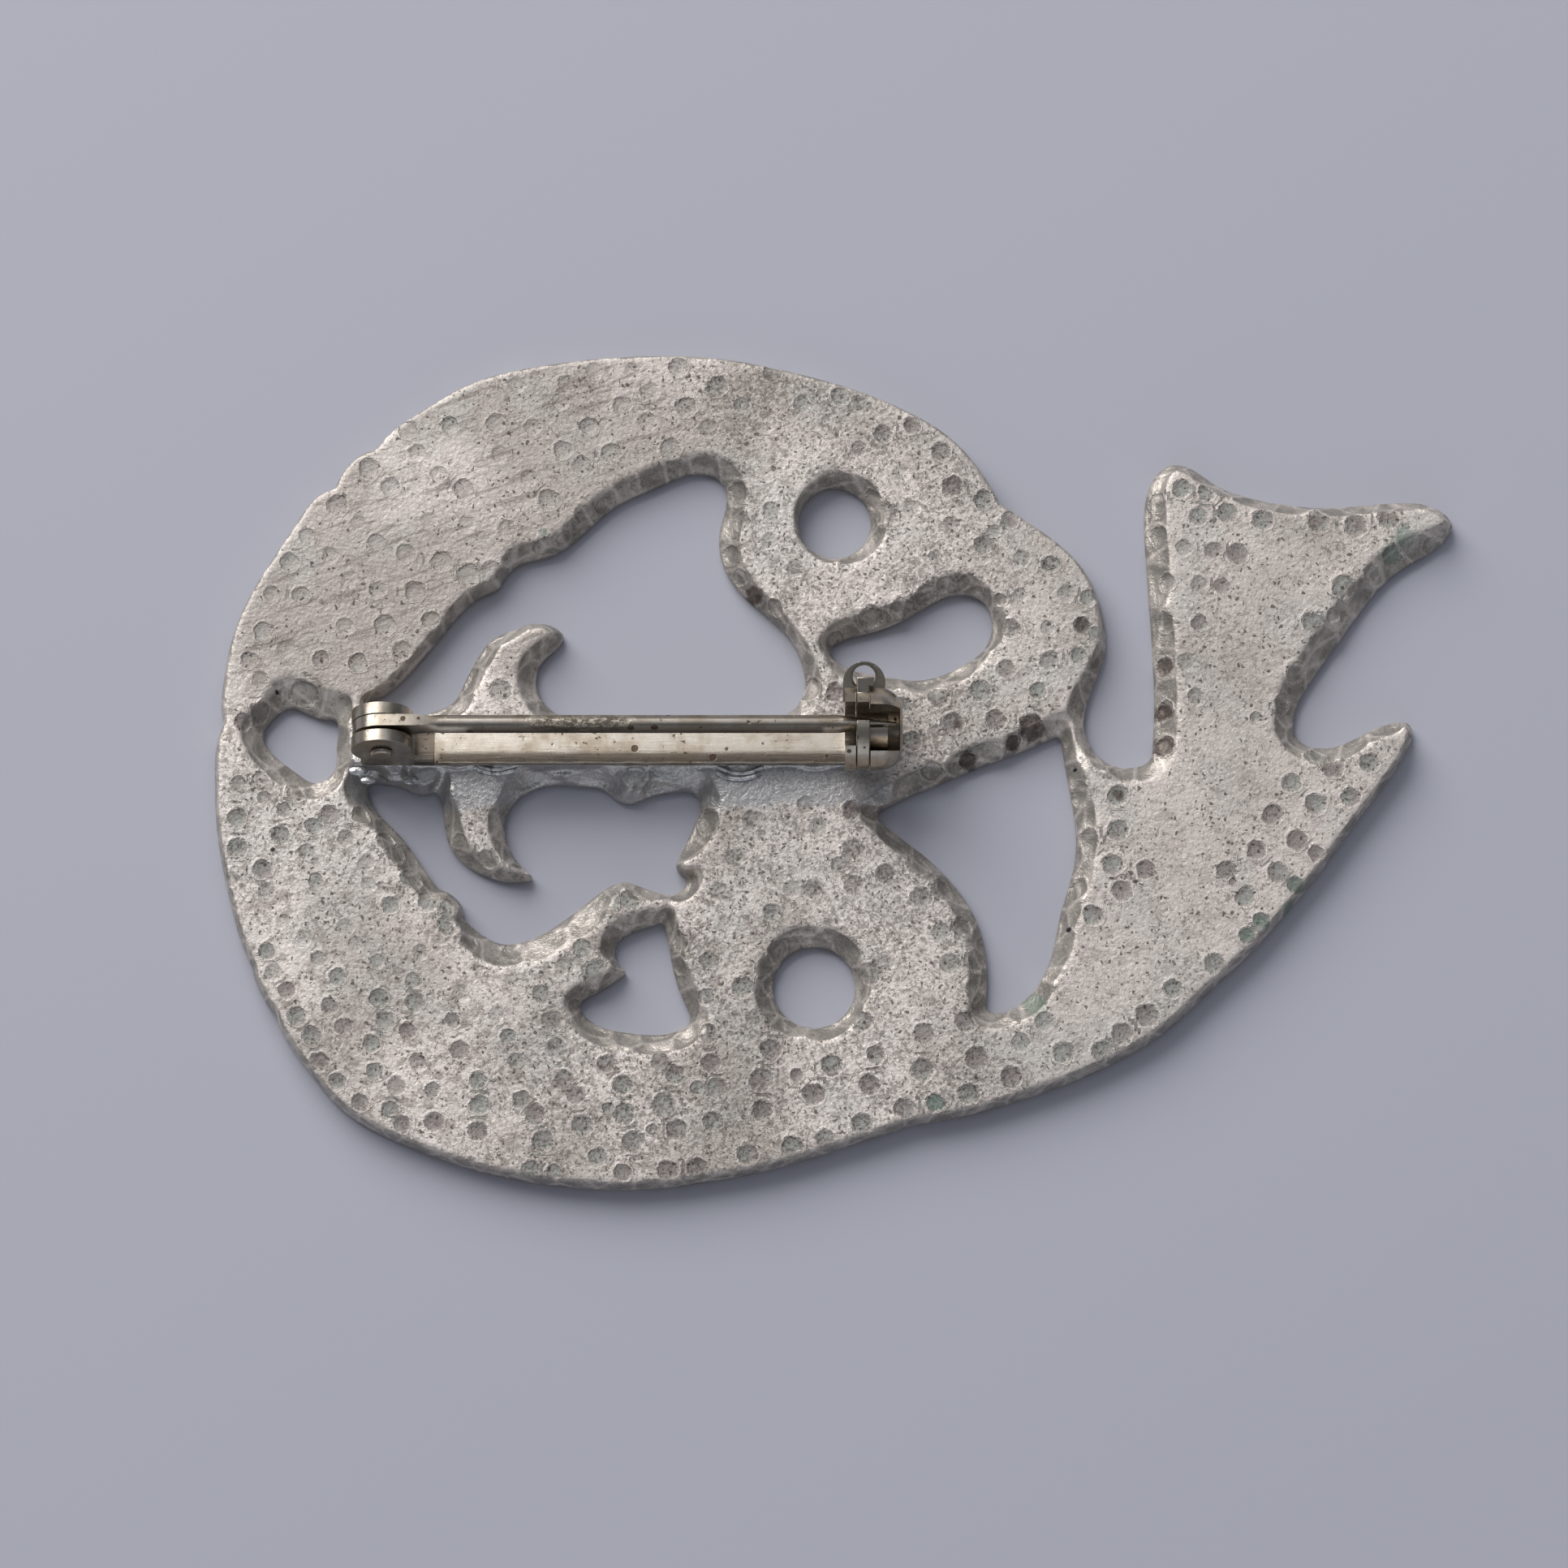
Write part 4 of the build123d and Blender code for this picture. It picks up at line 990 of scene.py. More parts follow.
@dataclass(frozen=True)
class HammeredSlopes:
    """The slopes round the edges, with pale ridges between their scoops.

    Attributes:
        bevel: Their colour.
        rubbed: The same where they are rubbed.
        ridge: A ridge between two scoops.
        low_colour: The slopes' colour low down, near the floor, which is darker.
        wear: Where they are rubbed.
        ridge_width: Where a ridge ends and is full, in shares of a scoop.
        ridge_cover: How pale the ridges are.
        low_height: Where the darker colour low down begins and is full, in millimetres.
        low_cover: How far it covers them.
    """

    bevel: Colour = srgb(146, 140, 132)
    rubbed: Colour = srgb(194, 186, 176)
    ridge: Colour = RUBBED_PEWTER
    low_colour: Colour = srgb(92, 85, 77)
    wear: Grain = Grain(0.8, 3.0, 0.6, 0.4, 0.66)
    ridge_width: Step = (0.09, 0.0)
    ridge_cover: float = 0.6
    low_height: Step = (0.7, 0.0)
    low_cover: float = 0.8

    def colour(self, bench: MetalBench) -> Wire:
        """The colour of a point on them.

        Args:
            bench: The material's bench.

        Returns:
            The colour.
        """
        base = bench.blend(bench.grain(bench.place, self.wear), self.bevel, self.rubbed)
        ridge = bench.ease(bench.stored("ridge"), *self.ridge_width)
        base = bench.blend(ridge * self.ridge_cover, base, self.ridge)
        # The slopes are darker low down, towards the floor.
        low = bench.ease(bench.axis(bench.place, "Z"), *self.low_height)
        return bench.blend(low * self.low_cover, base, self.low_colour)


@dataclass(frozen=True)
class TinStrip:
    """The tin of the solder, in a strip under the bar.

    Attributes:
        colour: The tin.
        middle: The strip's middle, across the brooch, in millimetres.
        edge: How far from it the tin ends and is full.
        length: The strip's length along the brooch.
        wobble: The pattern that makes its edge ragged.
        wobble_reach: How far the edge strays, in millimetres.
    """

    colour: Colour = srgb(178, 177, 176)
    middle: float = -0.9
    edge: Step = (1.9, 1.3)
    length: Stretch = Stretch(-29.0, 3.6, 1.0, 1.0)
    wobble: Cloud = (0.5, 3.0, 0.6)
    wobble_reach: float = 2.0

    def share(self, bench: MetalBench) -> Wire:
        """How far the tin covers a point.

        Args:
            bench: The material's bench.

        Returns:
            The share.
        """
        away = bench.math("ABSOLUTE", bench.axis(bench.place, "Y") - self.middle)
        wobble = bench.noise(bench.place, *self.wobble) - CLOUD_MIDDLE
        away = away + wobble * self.wobble_reach
        strip = bench.within(bench.axis(bench.place, "X"), self.length)
        return strip * bench.ease(away, *self.edge)


@dataclass(frozen=True)
class StainCover:
    """The charted spots of rust and verdigris, and the pinholes.

    Attributes:
        tints: The colour of each kind of spot, and how far it covers the metal.
        ragged: The pattern that makes their edges ragged.
        ragged_reach: How far an edge strays, in shares of the spot's radius.
        edge: Where a spot begins and is full, in the same shares.
    """

    tints: tuple[tuple[Stain, Colour, float], ...] = (
        (Stain.RUST, srgb(66, 46, 38), 0.75),
        (Stain.VERDIGRIS, srgb(92, 124, 108), 0.5),
        (Stain.PINHOLE, srgb(24, 20, 18), 0.95),
    )
    ragged: Cloud = (2.2, 3.0, 0.65)
    ragged_reach: float = 1.4
    edge: Step = (1.1, 0.6)

    def over(self, bench: MetalBench, base: Wire, view: PhotoView, top: float) -> Wire:
        """Lays the spots over a colour.

        Args:
            bench: The material's bench.
            base: The colour under them.
            view: How the photograph sees the brooch.
            top: The height of the plate's back.

        Returns:
            The colour with the spots.
        """
        flat = bench.vector("MULTIPLY", bench.place, (1.0, 1.0, 0.0))
        ragged = (bench.noise(bench.place, *self.ragged) - CLOUD_MIDDLE) * self.ragged_reach
        for kind, tint, strength in self.tints:
            cover = None
            for spot in (spot for spot in STAIN_SPOTS if spot.kind is kind):
                centre = view.place(spot.across, spot.down, top) / MM
                away = bench.vector("DISTANCE", flat, (centre.x, centre.y, 0.0), "Value")
                share = bench.ease(away / spot.reach + ragged, *self.edge)
                cover = share if cover is None else bench.math("MAXIMUM", cover, share)
            base = bench.blend(cover * strength, base, tint)
        return base


@dataclass(frozen=True)
class PewterFinish:
    """Cast pewter, worn pale where it is touched and dark in its pits and marks.

    Attributes:
        corner: The brushed corner.
        metal: The open metal.
        marks: The punch marks.
        pits: The pits.
        slopes: The hammered slopes.
        tin: The tin round the bar.
        stains: The charted spots.
        slope_start: The steepness between which the slopes' colour appears.
        mark_cover: How far a mark's floor covers the open metal.
        mark_corner: How much of that the brushed corner lacks.
        slope_cover: How far the slopes' colour covers it.
        pit_cover: How far the pits do.
        pit_slope: How much of that the slopes lack.
        ring_cover: How pale the ring round a mark is.
        edge_cover: How pale the worn edges are.
        tin_cover: How far the tin covers the metal.
        ring_height: How high the ring stands, in millimetres.
        mark_sink: How deep a mark's floor lies.
        relief: The pattern of the finest relief.
        relief_height: How high it stands.
        metallic: How much the open metal shines as bare metal does.
        roughness: How satin it is.
    """

    corner: BrushedCorner = BrushedCorner()
    metal: OpenMetal = OpenMetal()
    marks: PunchMarks = PunchMarks()
    pits: Pits = Pits()
    slopes: HammeredSlopes = HammeredSlopes()
    tin: TinStrip = TinStrip()
    stains: StainCover = StainCover()
    slope_start: Step = (0.04, 0.16)
    mark_cover: float = 0.85
    mark_corner: float = 0.5
    slope_cover: float = 0.9
    pit_cover: float = 0.82
    pit_slope: float = 0.45
    ring_cover: float = 0.2
    edge_cover: float = 0.55
    tin_cover: float = 0.75
    ring_height: float = 0.03
    mark_sink: float = 0.05
    relief: Cloud = (4.0, 2.0, 0.6)
    relief_height: float = 0.06
    metallic: float = 0.2
    roughness: float = 0.46

    def material(self, view: PhotoView, top: float) -> bpy.types.Material:
        """Makes the finish.

        Args:
            view: How the photograph sees the brooch, which the spots are placed by.
            top: The height of the plate's back.

        Returns:
            The material.
        """
        bench = MetalBench(Metal.PEWTER.value)
        slope = bench.ease(bench.stored("slope"), *self.slope_start)
        edge = bench.stored("edge_wear")
        corner = self.corner.share(bench)
        inside, ring = self.marks.shares(bench)
        pits = self.pits.share(bench, corner)
        tin = self.tin.share(bench)
        mark_cover = inside * (self.mark_cover - corner * self.mark_corner)
        pit_cover = pits * (self.pit_cover - slope * self.pit_slope)
        base = self.metal.colour(bench, corner)
        base = bench.blend(mark_cover, base, self.marks.colour(bench))
        base = bench.blend(slope * self.slope_cover, base, self.slopes.colour(bench))
        base = bench.blend(pit_cover, base, self.pits.colour)
        base = bench.blend(ring * self.ring_cover, base, self.metal.worn)
        base = bench.blend(edge * self.edge_cover, base, self.metal.worn)
        base = bench.blend(tin * self.tin_cover, base, self.tin.colour)
        base = self.stains.over(bench, base, view, top)
        height = ring * self.ring_height - inside * self.mark_sink
        height = height + bench.noise(bench.place, *self.relief) * self.relief_height
        metallic = self.metallic + slope * 0.25 + tin * 0.3
        roughness = self.roughness + pits * 0.25 + inside * 0.08 - slope * 0.08 - tin * 0.1
        return bench.finish(base, metallic, roughness, height)


@dataclass(frozen=True)
class BrownSpecks:
    """The brown specks and crumbs on the nickel silver.

    Attributes:
        colour: A speck.
        cover: How far it covers the metal.
        scale: Specks to the millimetre.
        radius: The radius of the largest, as a share of a cell.
        edge: Where a speck begins and is full, in shares of its radius.
        crumbs: The fine crumbs.
        patches: The tarnish between which the crumbs appear.
    """

    colour: Colour = srgb(70, 48, 36)
    cover: float = 0.75
    scale: float = 0.85
    radius: float = 0.22
    edge: Step = (1.0, 0.8)
    crumbs: Grain = Grain(3.2, 3.0, 0.7, 0.62, 0.68)
    patches: Step = (0.42, 0.6)

    def share(self, bench: MetalBench, tarnish: Wire) -> Wire:
        """How far a speck or a crumb covers a point.

        Args:
            bench: The material's bench.
            tarnish: How tarnished the point is.

        Returns:
            The share.
        """
        distance, chances = bench.cells(bench.place, self.scale)
        size = bench.out("ShaderNodeSeparateColor", None, {0: chances}, "Red")
        specks = bench.ease(distance / (size * self.radius), *self.edge)
        crumbs = bench.grain(bench.place, self.crumbs) * bench.ease(tarnish, *self.patches)
        return bench.math("MAXIMUM", specks, crumbs)


@dataclass(frozen=True)
class WireLint:
    """The dirt that clings to the top of the wire.

    Attributes:
        colour: The dirt.
        cover: How far it covers the metal.
        length: The stretch of the wire that has dirt on it, in millimetres.
        height: Where it begins and is full, in millimetres above the floor.
        drawn: How a point is drawn out along its fibres.
        fibres: Where its fibres lie.
    """

    colour: Colour = srgb(74, 66, 50)
    cover: float = 0.85
    length: Stretch = Stretch(-18.6, -11.4, 2.0, 1.5)
    height: Step = (4.7, 4.8)
    drawn: tuple[float, float, float] = (1.6, 3.0, 5.0)
    fibres: Grain = Grain(1.2, 4.0, 0.7, 0.42, 0.6)

    def share(self, bench: MetalBench) -> Wire:
        """How far the dirt covers a point.

        Args:
            bench: The material's bench.

        Returns:
            The share.
        """
        raised = bench.ease(bench.axis(bench.place, "Z"), *self.height)
        fibres = bench.grain(bench.vector("MULTIPLY", bench.place, self.drawn), self.fibres)
        return bench.within(bench.axis(bench.place, "X"), self.length) * raised * fibres


@dataclass(frozen=True)
class PaintedShade:
    """Painted shade on the lower sides of the bar and the wire and on the floor of the sunk panel,
    with sizes in millimetres.

    Attributes:
        colour: The painted shade's colour.
        bar_length: The stretch of the bar whose lower side gets painted shade.
        bar_side: How far across the brooch that side reaches, which leaves its lip bright.
        bar_height: Where the bar ends upwards.
        bar_wave: The pattern that makes the side's edge wavy.
        bar_stray: How far the edge strays.
        bar_cover: How strong the painted shade on the bar's side is.
        wire_length: The stretch of the wire whose lower side gets painted shade.
        wire_side: How far across the brooch that side reaches.
        wire_height: Where it begins and is full.
        wire_cover: How strong the painted shade on the wire's side is.
        panel_length: The sunk panel by the hinge, along the brooch.
        panel_height: Where the panel's floor ends upwards.
        panel_cover: How strong the painted shade on the panel's floor is.
    """

    colour: Colour = srgb(84, 74, 65)
    bar_length: Stretch = Stretch(-23.5, 1.0, 0.5, 0.2)
    bar_side: Stretch = Stretch(-0.12, 0.66, 0.1, 0.3)
    bar_height: Step = (3.2, 3.1)
    bar_wave: Cloud = (0.8, 2.0, 0.5)
    bar_stray: float = 0.2
    bar_cover: float = 0.75
    wire_length: Stretch = Stretch(-22.0, -0.6, 1.0, 0.4)
    wire_side: Step = (1.42, 1.26)
    wire_height: Step = (3.2, 4.7)
    wire_cover: float = 0.9
    panel_length: Stretch = Stretch(-24.7, -23.45, 0.1, 0.07)
    panel_height: Step = (2.8, 2.75)
    panel_cover: float = 0.8

    def over(self, bench: MetalBench, base: Wire) -> Wire:
        """Lays the painted shade over a colour.

        Args:
            bench: The material's bench.
            base: The colour under it.

        Returns:
            The colour with the painted shade.
        """
        across, up, height = (bench.axis(bench.place, name) for name in "XYZ")
        wave = (bench.noise(bench.place, *self.bar_wave) - CLOUD_MIDDLE) * self.bar_stray
        bar = bench.within(across, self.bar_length) * bench.within(up + wave, self.bar_side)
        bar = bar * bench.ease(height, *self.bar_height)
        wire = bench.within(across, self.wire_length) * bench.ease(up, *self.wire_side)
        wire = wire * bench.ease(height, *self.wire_height)
        panel = bench.within(across, self.panel_length) * bench.ease(height, *self.panel_height)
        # Painted shade: the bar's and the wire's lower sides and the sunk panel's floor are darkened.
        base = bench.blend(bar * self.bar_cover, base, self.colour)
        base = bench.blend(wire * self.wire_cover, base, self.colour)
        return bench.blend(panel * self.panel_cover, base, self.colour)


@dataclass(frozen=True)
class NickelSilverFinish:
    """Drawn and stamped nickel silver, satin bright with brown specks and lint on its wire, and with
    painted shade on its lower sides and in its sunk panel.

    Attributes:
        bright: The metal where it is clean.
        dull: The metal where it has tarnished.
        tarnish: The pattern of the tarnish.
        tarnish_edge: The values of it between which the metal dulls.
        painted_shade: The painted shade on the lower sides of the bar and the wire and on the sunk
            panel's floor.
        specks: The specks.
        lint: The dirt on the wire.
        drawn: How a point is drawn out along the fine lines in the metal.
        lines: The pattern of the lines.
        line_height: How high they stand, in millimetres.
        speck_sink: How deep the specks lie.
        lint_height: How high the dirt stands.
        metallic: How much the clean metal shines as bare metal does.
        roughness: How satin it is.
    """

    bright: Colour = srgb(182, 173, 160)
    dull: Colour = srgb(146, 134, 118)
    tarnish: Cloud = (0.6, 3.0, 0.6)
    tarnish_edge: Step = (0.35, 0.7)
    painted_shade: PaintedShade = PaintedShade()
    specks: BrownSpecks = BrownSpecks()
    lint: WireLint = WireLint()
    drawn: tuple[float, float, float] = (0.25, 4.0, 4.0)
    lines: Cloud = (2.2, 3.0, 0.6)
    line_height: float = 0.005
    speck_sink: float = 0.015
    lint_height: float = 0.03
    metallic: float = 0.95
    roughness: float = 0.3

    def material(self) -> bpy.types.Material:
        """Makes the finish.

        Returns:
            The material.
        """
        bench = MetalBench(Metal.NICKEL_SILVER.value)
        tarnish = bench.noise(bench.place, *self.tarnish)
        specks = self.specks.share(bench, tarnish)
        lint = self.lint.share(bench)
        base = bench.blend(bench.ease(tarnish, *self.tarnish_edge), self.bright, self.dull)
        # Painted shade on the lower sides of the bar and the wire and on the sunk panel's floor.
        base = self.painted_shade.over(bench, base)
        base = bench.blend(specks * self.specks.cover, base, self.specks.colour)
        base = bench.blend(lint * self.lint.cover, base, self.lint.colour)
        lines = bench.noise(bench.vector("MULTIPLY", bench.place, self.drawn), *self.lines)
        height = lines * self.line_height - specks * self.speck_sink + lint * self.lint_height
        roughness = self.roughness + (tarnish - CLOUD_MIDDLE) * 0.3 + specks * 0.3 + lint * 0.5
        return bench.finish(base, self.metallic - lint * 0.9, roughness, height)


@dataclass(frozen=True)
class TinFinish:
    """Bright tin, as it set in drops beside the bar.

    Attributes:
        bright: The tin.
        dull: The tin where its skin is grey.
        skin: Where it is grey.
        lumps: The pattern of its lumps.
        lump_height: How high they stand, in millimetres.
        metallic: How much it shines as bare metal does.
        roughness: How satin it is where it is bright.
    """

    bright: Colour = srgb(226, 226, 224)
    dull: Colour = srgb(150, 150, 152)
    skin: Grain = Grain(2.2, 3.0, 0.6, 0.44, 0.64)
    lumps: Cloud = (3.0, 2.0, 0.5)
    lump_height: float = 0.06
    metallic: float = 0.8
    roughness: float = 0.3

    def material(self) -> bpy.types.Material:
        """Makes the finish.

        Returns:
            The material.
        """
        bench = MetalBench("tin")
        skin = bench.grain(bench.place, self.skin)
        base = bench.blend(skin, self.bright, self.dull)
        height = bench.noise(bench.place, *self.lumps) * self.lump_height
        return bench.finish(base, self.metallic, self.roughness + skin * 0.2, height)


class StrikeGroup(GroupBench):
    """The group that strikes round marks into a surface and roughens it.

    Attributes:
        DROP: How far above the surface the marks' points are dropped from.
        NEAR: How far out a mark is read, in shares of its radius.
        PAN: Where a mark's floor begins and is full, in the same shares.
        RIM: The raised rim round a mark, in the same shares.
        TURN: The turns of the surface between which an edge is worn.
        TURN_ROUNDS: How often the turn is evened out.
        WALL: The steepness between which a face is an upright wall.
        WALL_ROUNDS: How often the wall is evened out.
        OFF_WALL: How near to a wall the hammering stops and is full.
        BEVEL: The steepness between which the hammering begins.
        BOWL_LEVEL: How much of a scoop lies below the surface.
        GRAIN: The grain of the back.
        BACK: The heights between which the relief begins, in millimetres.
    """

    DROP = 20.0 * MM
    NEAR = 1.6
    PAN = (1.08, 0.62)
    RIM = Stretch(0.85, 1.5, 0.27, 0.35)
    TURN = (0.1, 0.35)
    TURN_ROUNDS = 4
    WALL = (0.5, 0.68)
    WALL_ROUNDS = 5
    OFF_WALL = (0.3, 0.05)
    BEVEL = (0.05, 0.3)
    BOWL_LEVEL = 0.3
    GRAIN = (1.6, 2.0, 0.5)
    BACK = (0.3, 0.9)

    def __init__(self) -> None:
        """Builds the group, whose surface keeps what its finish reads."""
        sizes = (
            "Mark Radius",
            "Mark Depth",
            "Rim Height",
            "Facet Height",
            "Scoop Scale",
            "Grain Height",
        )
        super().__init__(
            "strike", {"Marks": "Object", **dict.fromkeys(sizes, "Float"), "Material": "Material"}
        )
        self.finish(self._moved(self._noted(self._dropped())))

    def _dropped(self) -> Wire:
        """The marks' points, dropped on to the surface from above.

        Returns:
            The points that meet it.
        """
        points = self.out(
            "GeometryNodeObjectInfo", None, {"Object": self.given["Marks"]}, "Geometry"
        )
        here = self.out("GeometryNodeInputPosition")
        cast = self.node(
            "GeometryNodeRaycast",
            None,
            {
                "Target Geometry": self.given["Geometry"],
                "Source Position": self.vector("ADD", here, (0.0, 0.0, self.DROP)),
                "Ray Direction": (0.0, 0.0, -1.0),
                "Ray Length": 2.0 * self.DROP,
            },
        )
        hit = Wire(self, cast.outputs["Is Hit"])
        landed = Wire(self, cast.outputs["Hit Position"])
        return self.out(
            "GeometryNodeSetPosition", None, {0: points, "Selection": hit, "Position": landed}
        )

    def _noted(self, placed: Wire) -> Wire:
        """Stores what the finish reads: slope, edge wear and the nearest mark.

        Args:
            placed: The marks' points on the surface.

        Returns:
            The surface.
        """
        here = self.out("GeometryNodeInputPosition")
        nearest = self.out(
            "GeometryNodeSampleNearest", {"domain": "POINT"}, {"Geometry": placed}, "Index"
        )

        def sampled(kind: str, value: Wire) -> Wire:
            """A value of the nearest mark."""
            return self.out(
                "GeometryNodeSampleIndex",
                {"data_type": kind, "domain": "POINT"},
                {"Geometry": placed, "Value": value, "Index": nearest},
            )

        def blurred(kind: str, value: Wire, rounds: int) -> Wire:
            """A value that is evened out over the neighbouring points."""
            return self.out(
                "GeometryNodeBlurAttribute",
                {"data_type": kind},
                {"Value": value, "Iterations": rounds},
            )

        offset = self.vector("SUBTRACT", here, sampled("FLOAT_VECTOR", here))
        radius = sampled("FLOAT", self.stored("size")) * self.given["Mark Radius"]
        offset = self.vector("SCALE", offset, 1.0 / radius)
        reach = self.vector("LENGTH", offset, None, "Value")
        normal = self.out("GeometryNodeInputNormal")
        slope = 1.0 - self.axis(normal, "Z")
        soft = blurred("FLOAT_VECTOR", normal, self.TURN_ROUNDS)
        turn = self.vector("DISTANCE", normal, soft, "Value")
        spot = self.vector("SCALE", here, 1.0 / MM)
        scoops = {"Vector": spot, "Scale": self.given["Scoop Scale"]}
        ridge = self.out(
            "ShaderNodeTexVoronoi", {"feature": "DISTANCE_TO_EDGE"}, scoops, "Distance"
        )
        wall = blurred("FLOAT", self.ease(slope, *self.WALL), self.WALL_ROUNDS)
        surface = self.given["Geometry"]
        stored = (
            ("wall", "FLOAT", wall),
            ("slope", "FLOAT", slope),
            ("edge_wear", "FLOAT", self.ease(turn, *self.TURN)),
            ("ridge", "FLOAT", ridge),
            ("mark_offset", "FLOAT_VECTOR", offset),
            ("mark_near", "FLOAT", self.math("LESS_THAN", reach, self.NEAR)),
            ("mark_depth", "FLOAT", sampled("FLOAT", self.stored("depth"))),
        )
        for name, kind, value in stored:
            surface = self.out(
                "GeometryNodeStoreNamedAttribute",
                {"data_type": kind, "domain": "POINT"},
                {"Geometry": surface, "Name": name, "Value": value},
            )
        return surface

    def _moved(self, surface: Wire) -> Wire:
        """Sinks the marks, and makes the bevels and the back uneven.

        Args:
            surface: The surface with what is stored on it.

        Returns:
            The surface.
        """
        here = self.vector("SCALE", self.out("GeometryNodeInputPosition"), 1.0 / MM)
        reach = self.vector("LENGTH", self.stored("mark_offset", "FLOAT_VECTOR"), None, "Value")
        near = self.stored("mark_near")
        pan = self.ease(reach, *self.PAN) * near * self.stored("mark_depth")
        rim = self.within(reach, self.RIM) * near
        scoops = {"Vector": here, "Scale": self.given["Scoop Scale"]}
        bowls = self.out("ShaderNodeTexVoronoi", {"feature": "F1"}, scoops, "Distance")
        facet = bowls * bowls - self.BOWL_LEVEL
        grain = self.noise(here, *self.GRAIN) - CLOUD_MIDDLE
        bevel = self.ease(self.stored("slope"), *self.BEVEL)
        bevel = bevel * self.ease(self.stored("wall"), *self.OFF_WALL)
        push = rim * self.given["Rim Height"] - pan * self.given["Mark Depth"]
        push = push + facet * bevel * self.given["Facet Height"] + grain * self.given["Grain Height"]
        backed = self.ease(self.axis(here, "Z"), *self.BACK)
        normal = self.out("GeometryNodeInputNormal")
        shift = self.vector("SCALE", normal, push * backed)
        return self.out("GeometryNodeSetPosition", None, {0: surface, "Offset": shift})


@dataclass
class CastPlate:
    """The pierced plate, cast and struck with round marks.

    Attributes:
        view: How the photograph sees the plate, which the charted marks are placed by.
        finish: The pewter.
        voxel: The grain of the new surface.
        front_height: The height under which the front is flat and plain.
        mark_radius: A usual mark's radius.
        mark_depth: A usual mark's depth.
        rim_height: How high the metal stands round a mark.
        facet_height: How uneven the bevels are.
        scoop_scale: Scoops to the millimetre on them.
        grain_height: How uneven the back is.
        body: The body that the plate rides on.
        pieces: The pieces that are built.
    """

    view: PhotoView
    finish: bpy.types.Material
    voxel: float = 0.19 * MM
    front_height: float = 0.03 * MM
    mark_radius: float = 0.56 * MM
    mark_depth: float = 0.07 * MM
    rim_height: float = 0.02 * MM
    facet_height: float = 0.5 * MM
    scoop_scale: float = 0.5
    grain_height: float = 0.03 * MM
    body: str = "brooch"
    pieces: list[bpy.types.Object] = field(default_factory=list)

    def build(self) -> None:
        """Builds the plate's piece, attaches it to the brooch's body and hides the frame's plate, so
        that the piece stands in its place.
        """
        plate = self._remeshed()
        marks = self._marks()
        values = {
            "Marks": marks,
            "Mark Radius": self.mark_radius,
            "Mark Depth": self.mark_depth,
            "Rim Height": self.rim_height,
            "Facet Height": self.facet_height,
            "Scoop Scale": self.scoop_scale,
            "Grain Height": self.grain_height,
            "Material": self.finish,
        }
        StrikeGroup().run(plate, values)
        bpy.data.objects.remove(marks)
        self._thin_front(plate)
        for face in plate.data.polygons:
            face.use_smooth = True
        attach(plate, self.body)
        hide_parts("plate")
        self.pieces.append(plate)

    def _remeshed(self) -> bpy.types.Object:
        """Copies the frame's plate and gives the copy an even surface.

        Returns:
            The copy.
        """
        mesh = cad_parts["plate"].data.copy()
        mesh.name = "cast_plate"
        mesh.materials.clear()
        work = bmesh.new()
        work.from_mesh(mesh)
        bmesh.ops.remove_doubles(work, verts=work.verts, dist=WELD_REACH)
        work.to_mesh(mesh)
        work.free()
        plate = place_object("cast_plate", mesh)
        grain = plate.modifiers.new("even_surface", "REMESH")
        grain.mode = "VOXEL"
        grain.voxel_size = self.voxel
        settle(plate)
        return plate

    def _marks(self) -> bpy.types.Object:
        """Lays the charted marks out as loose points at the height of the plate's back.

        Returns:
            The points, with each mark's size and depth.
        """
        top = frame_top()
        rows = [
            (window.left + across / window.zoom, window.top + down / window.zoom, size, depth)
            for window in MARK_WINDOWS
            for across, down, size, depth in window.marks
        ]
        mesh = bpy.data.meshes.new("marks")
        mesh.from_pydata([self.view.place(row[0], row[1], top) for row in rows], [], [])
        for name, column in (("size", 2), ("depth", 3)):
            values = mesh.attributes.new(name, "FLOAT", "POINT")
            for item, row in zip(values.data, rows):
                item.value = row[column]
        return place_object("marks", mesh)

    def _thin_front(self, plate: bpy.types.Object) -> None:
        """Lays the flat front again with few faces, up to its rims.

        Args:
            plate: The plate's piece.
        """
        work = bmesh.new()
        work.from_mesh(plate.data)
        flat = [f for f in work.faces if all(v.co.z < self.front_height for v in f.verts)]
        bmesh.ops.delete(work, geom=flat, context="FACES")
        rims = [e for e in work.edges if e.is_boundary]
        made = bmesh.ops.triangle_fill(work, use_beauty=True, edges=rims, normal=(0.0, 0.0, -1.0))
        for face in made["geom"]:
            if isinstance(face, bmesh.types.BMFace) and face.normal.z > 0.0:
                face.normal_flip()
        work.to_mesh(plate.data)
        work.free()


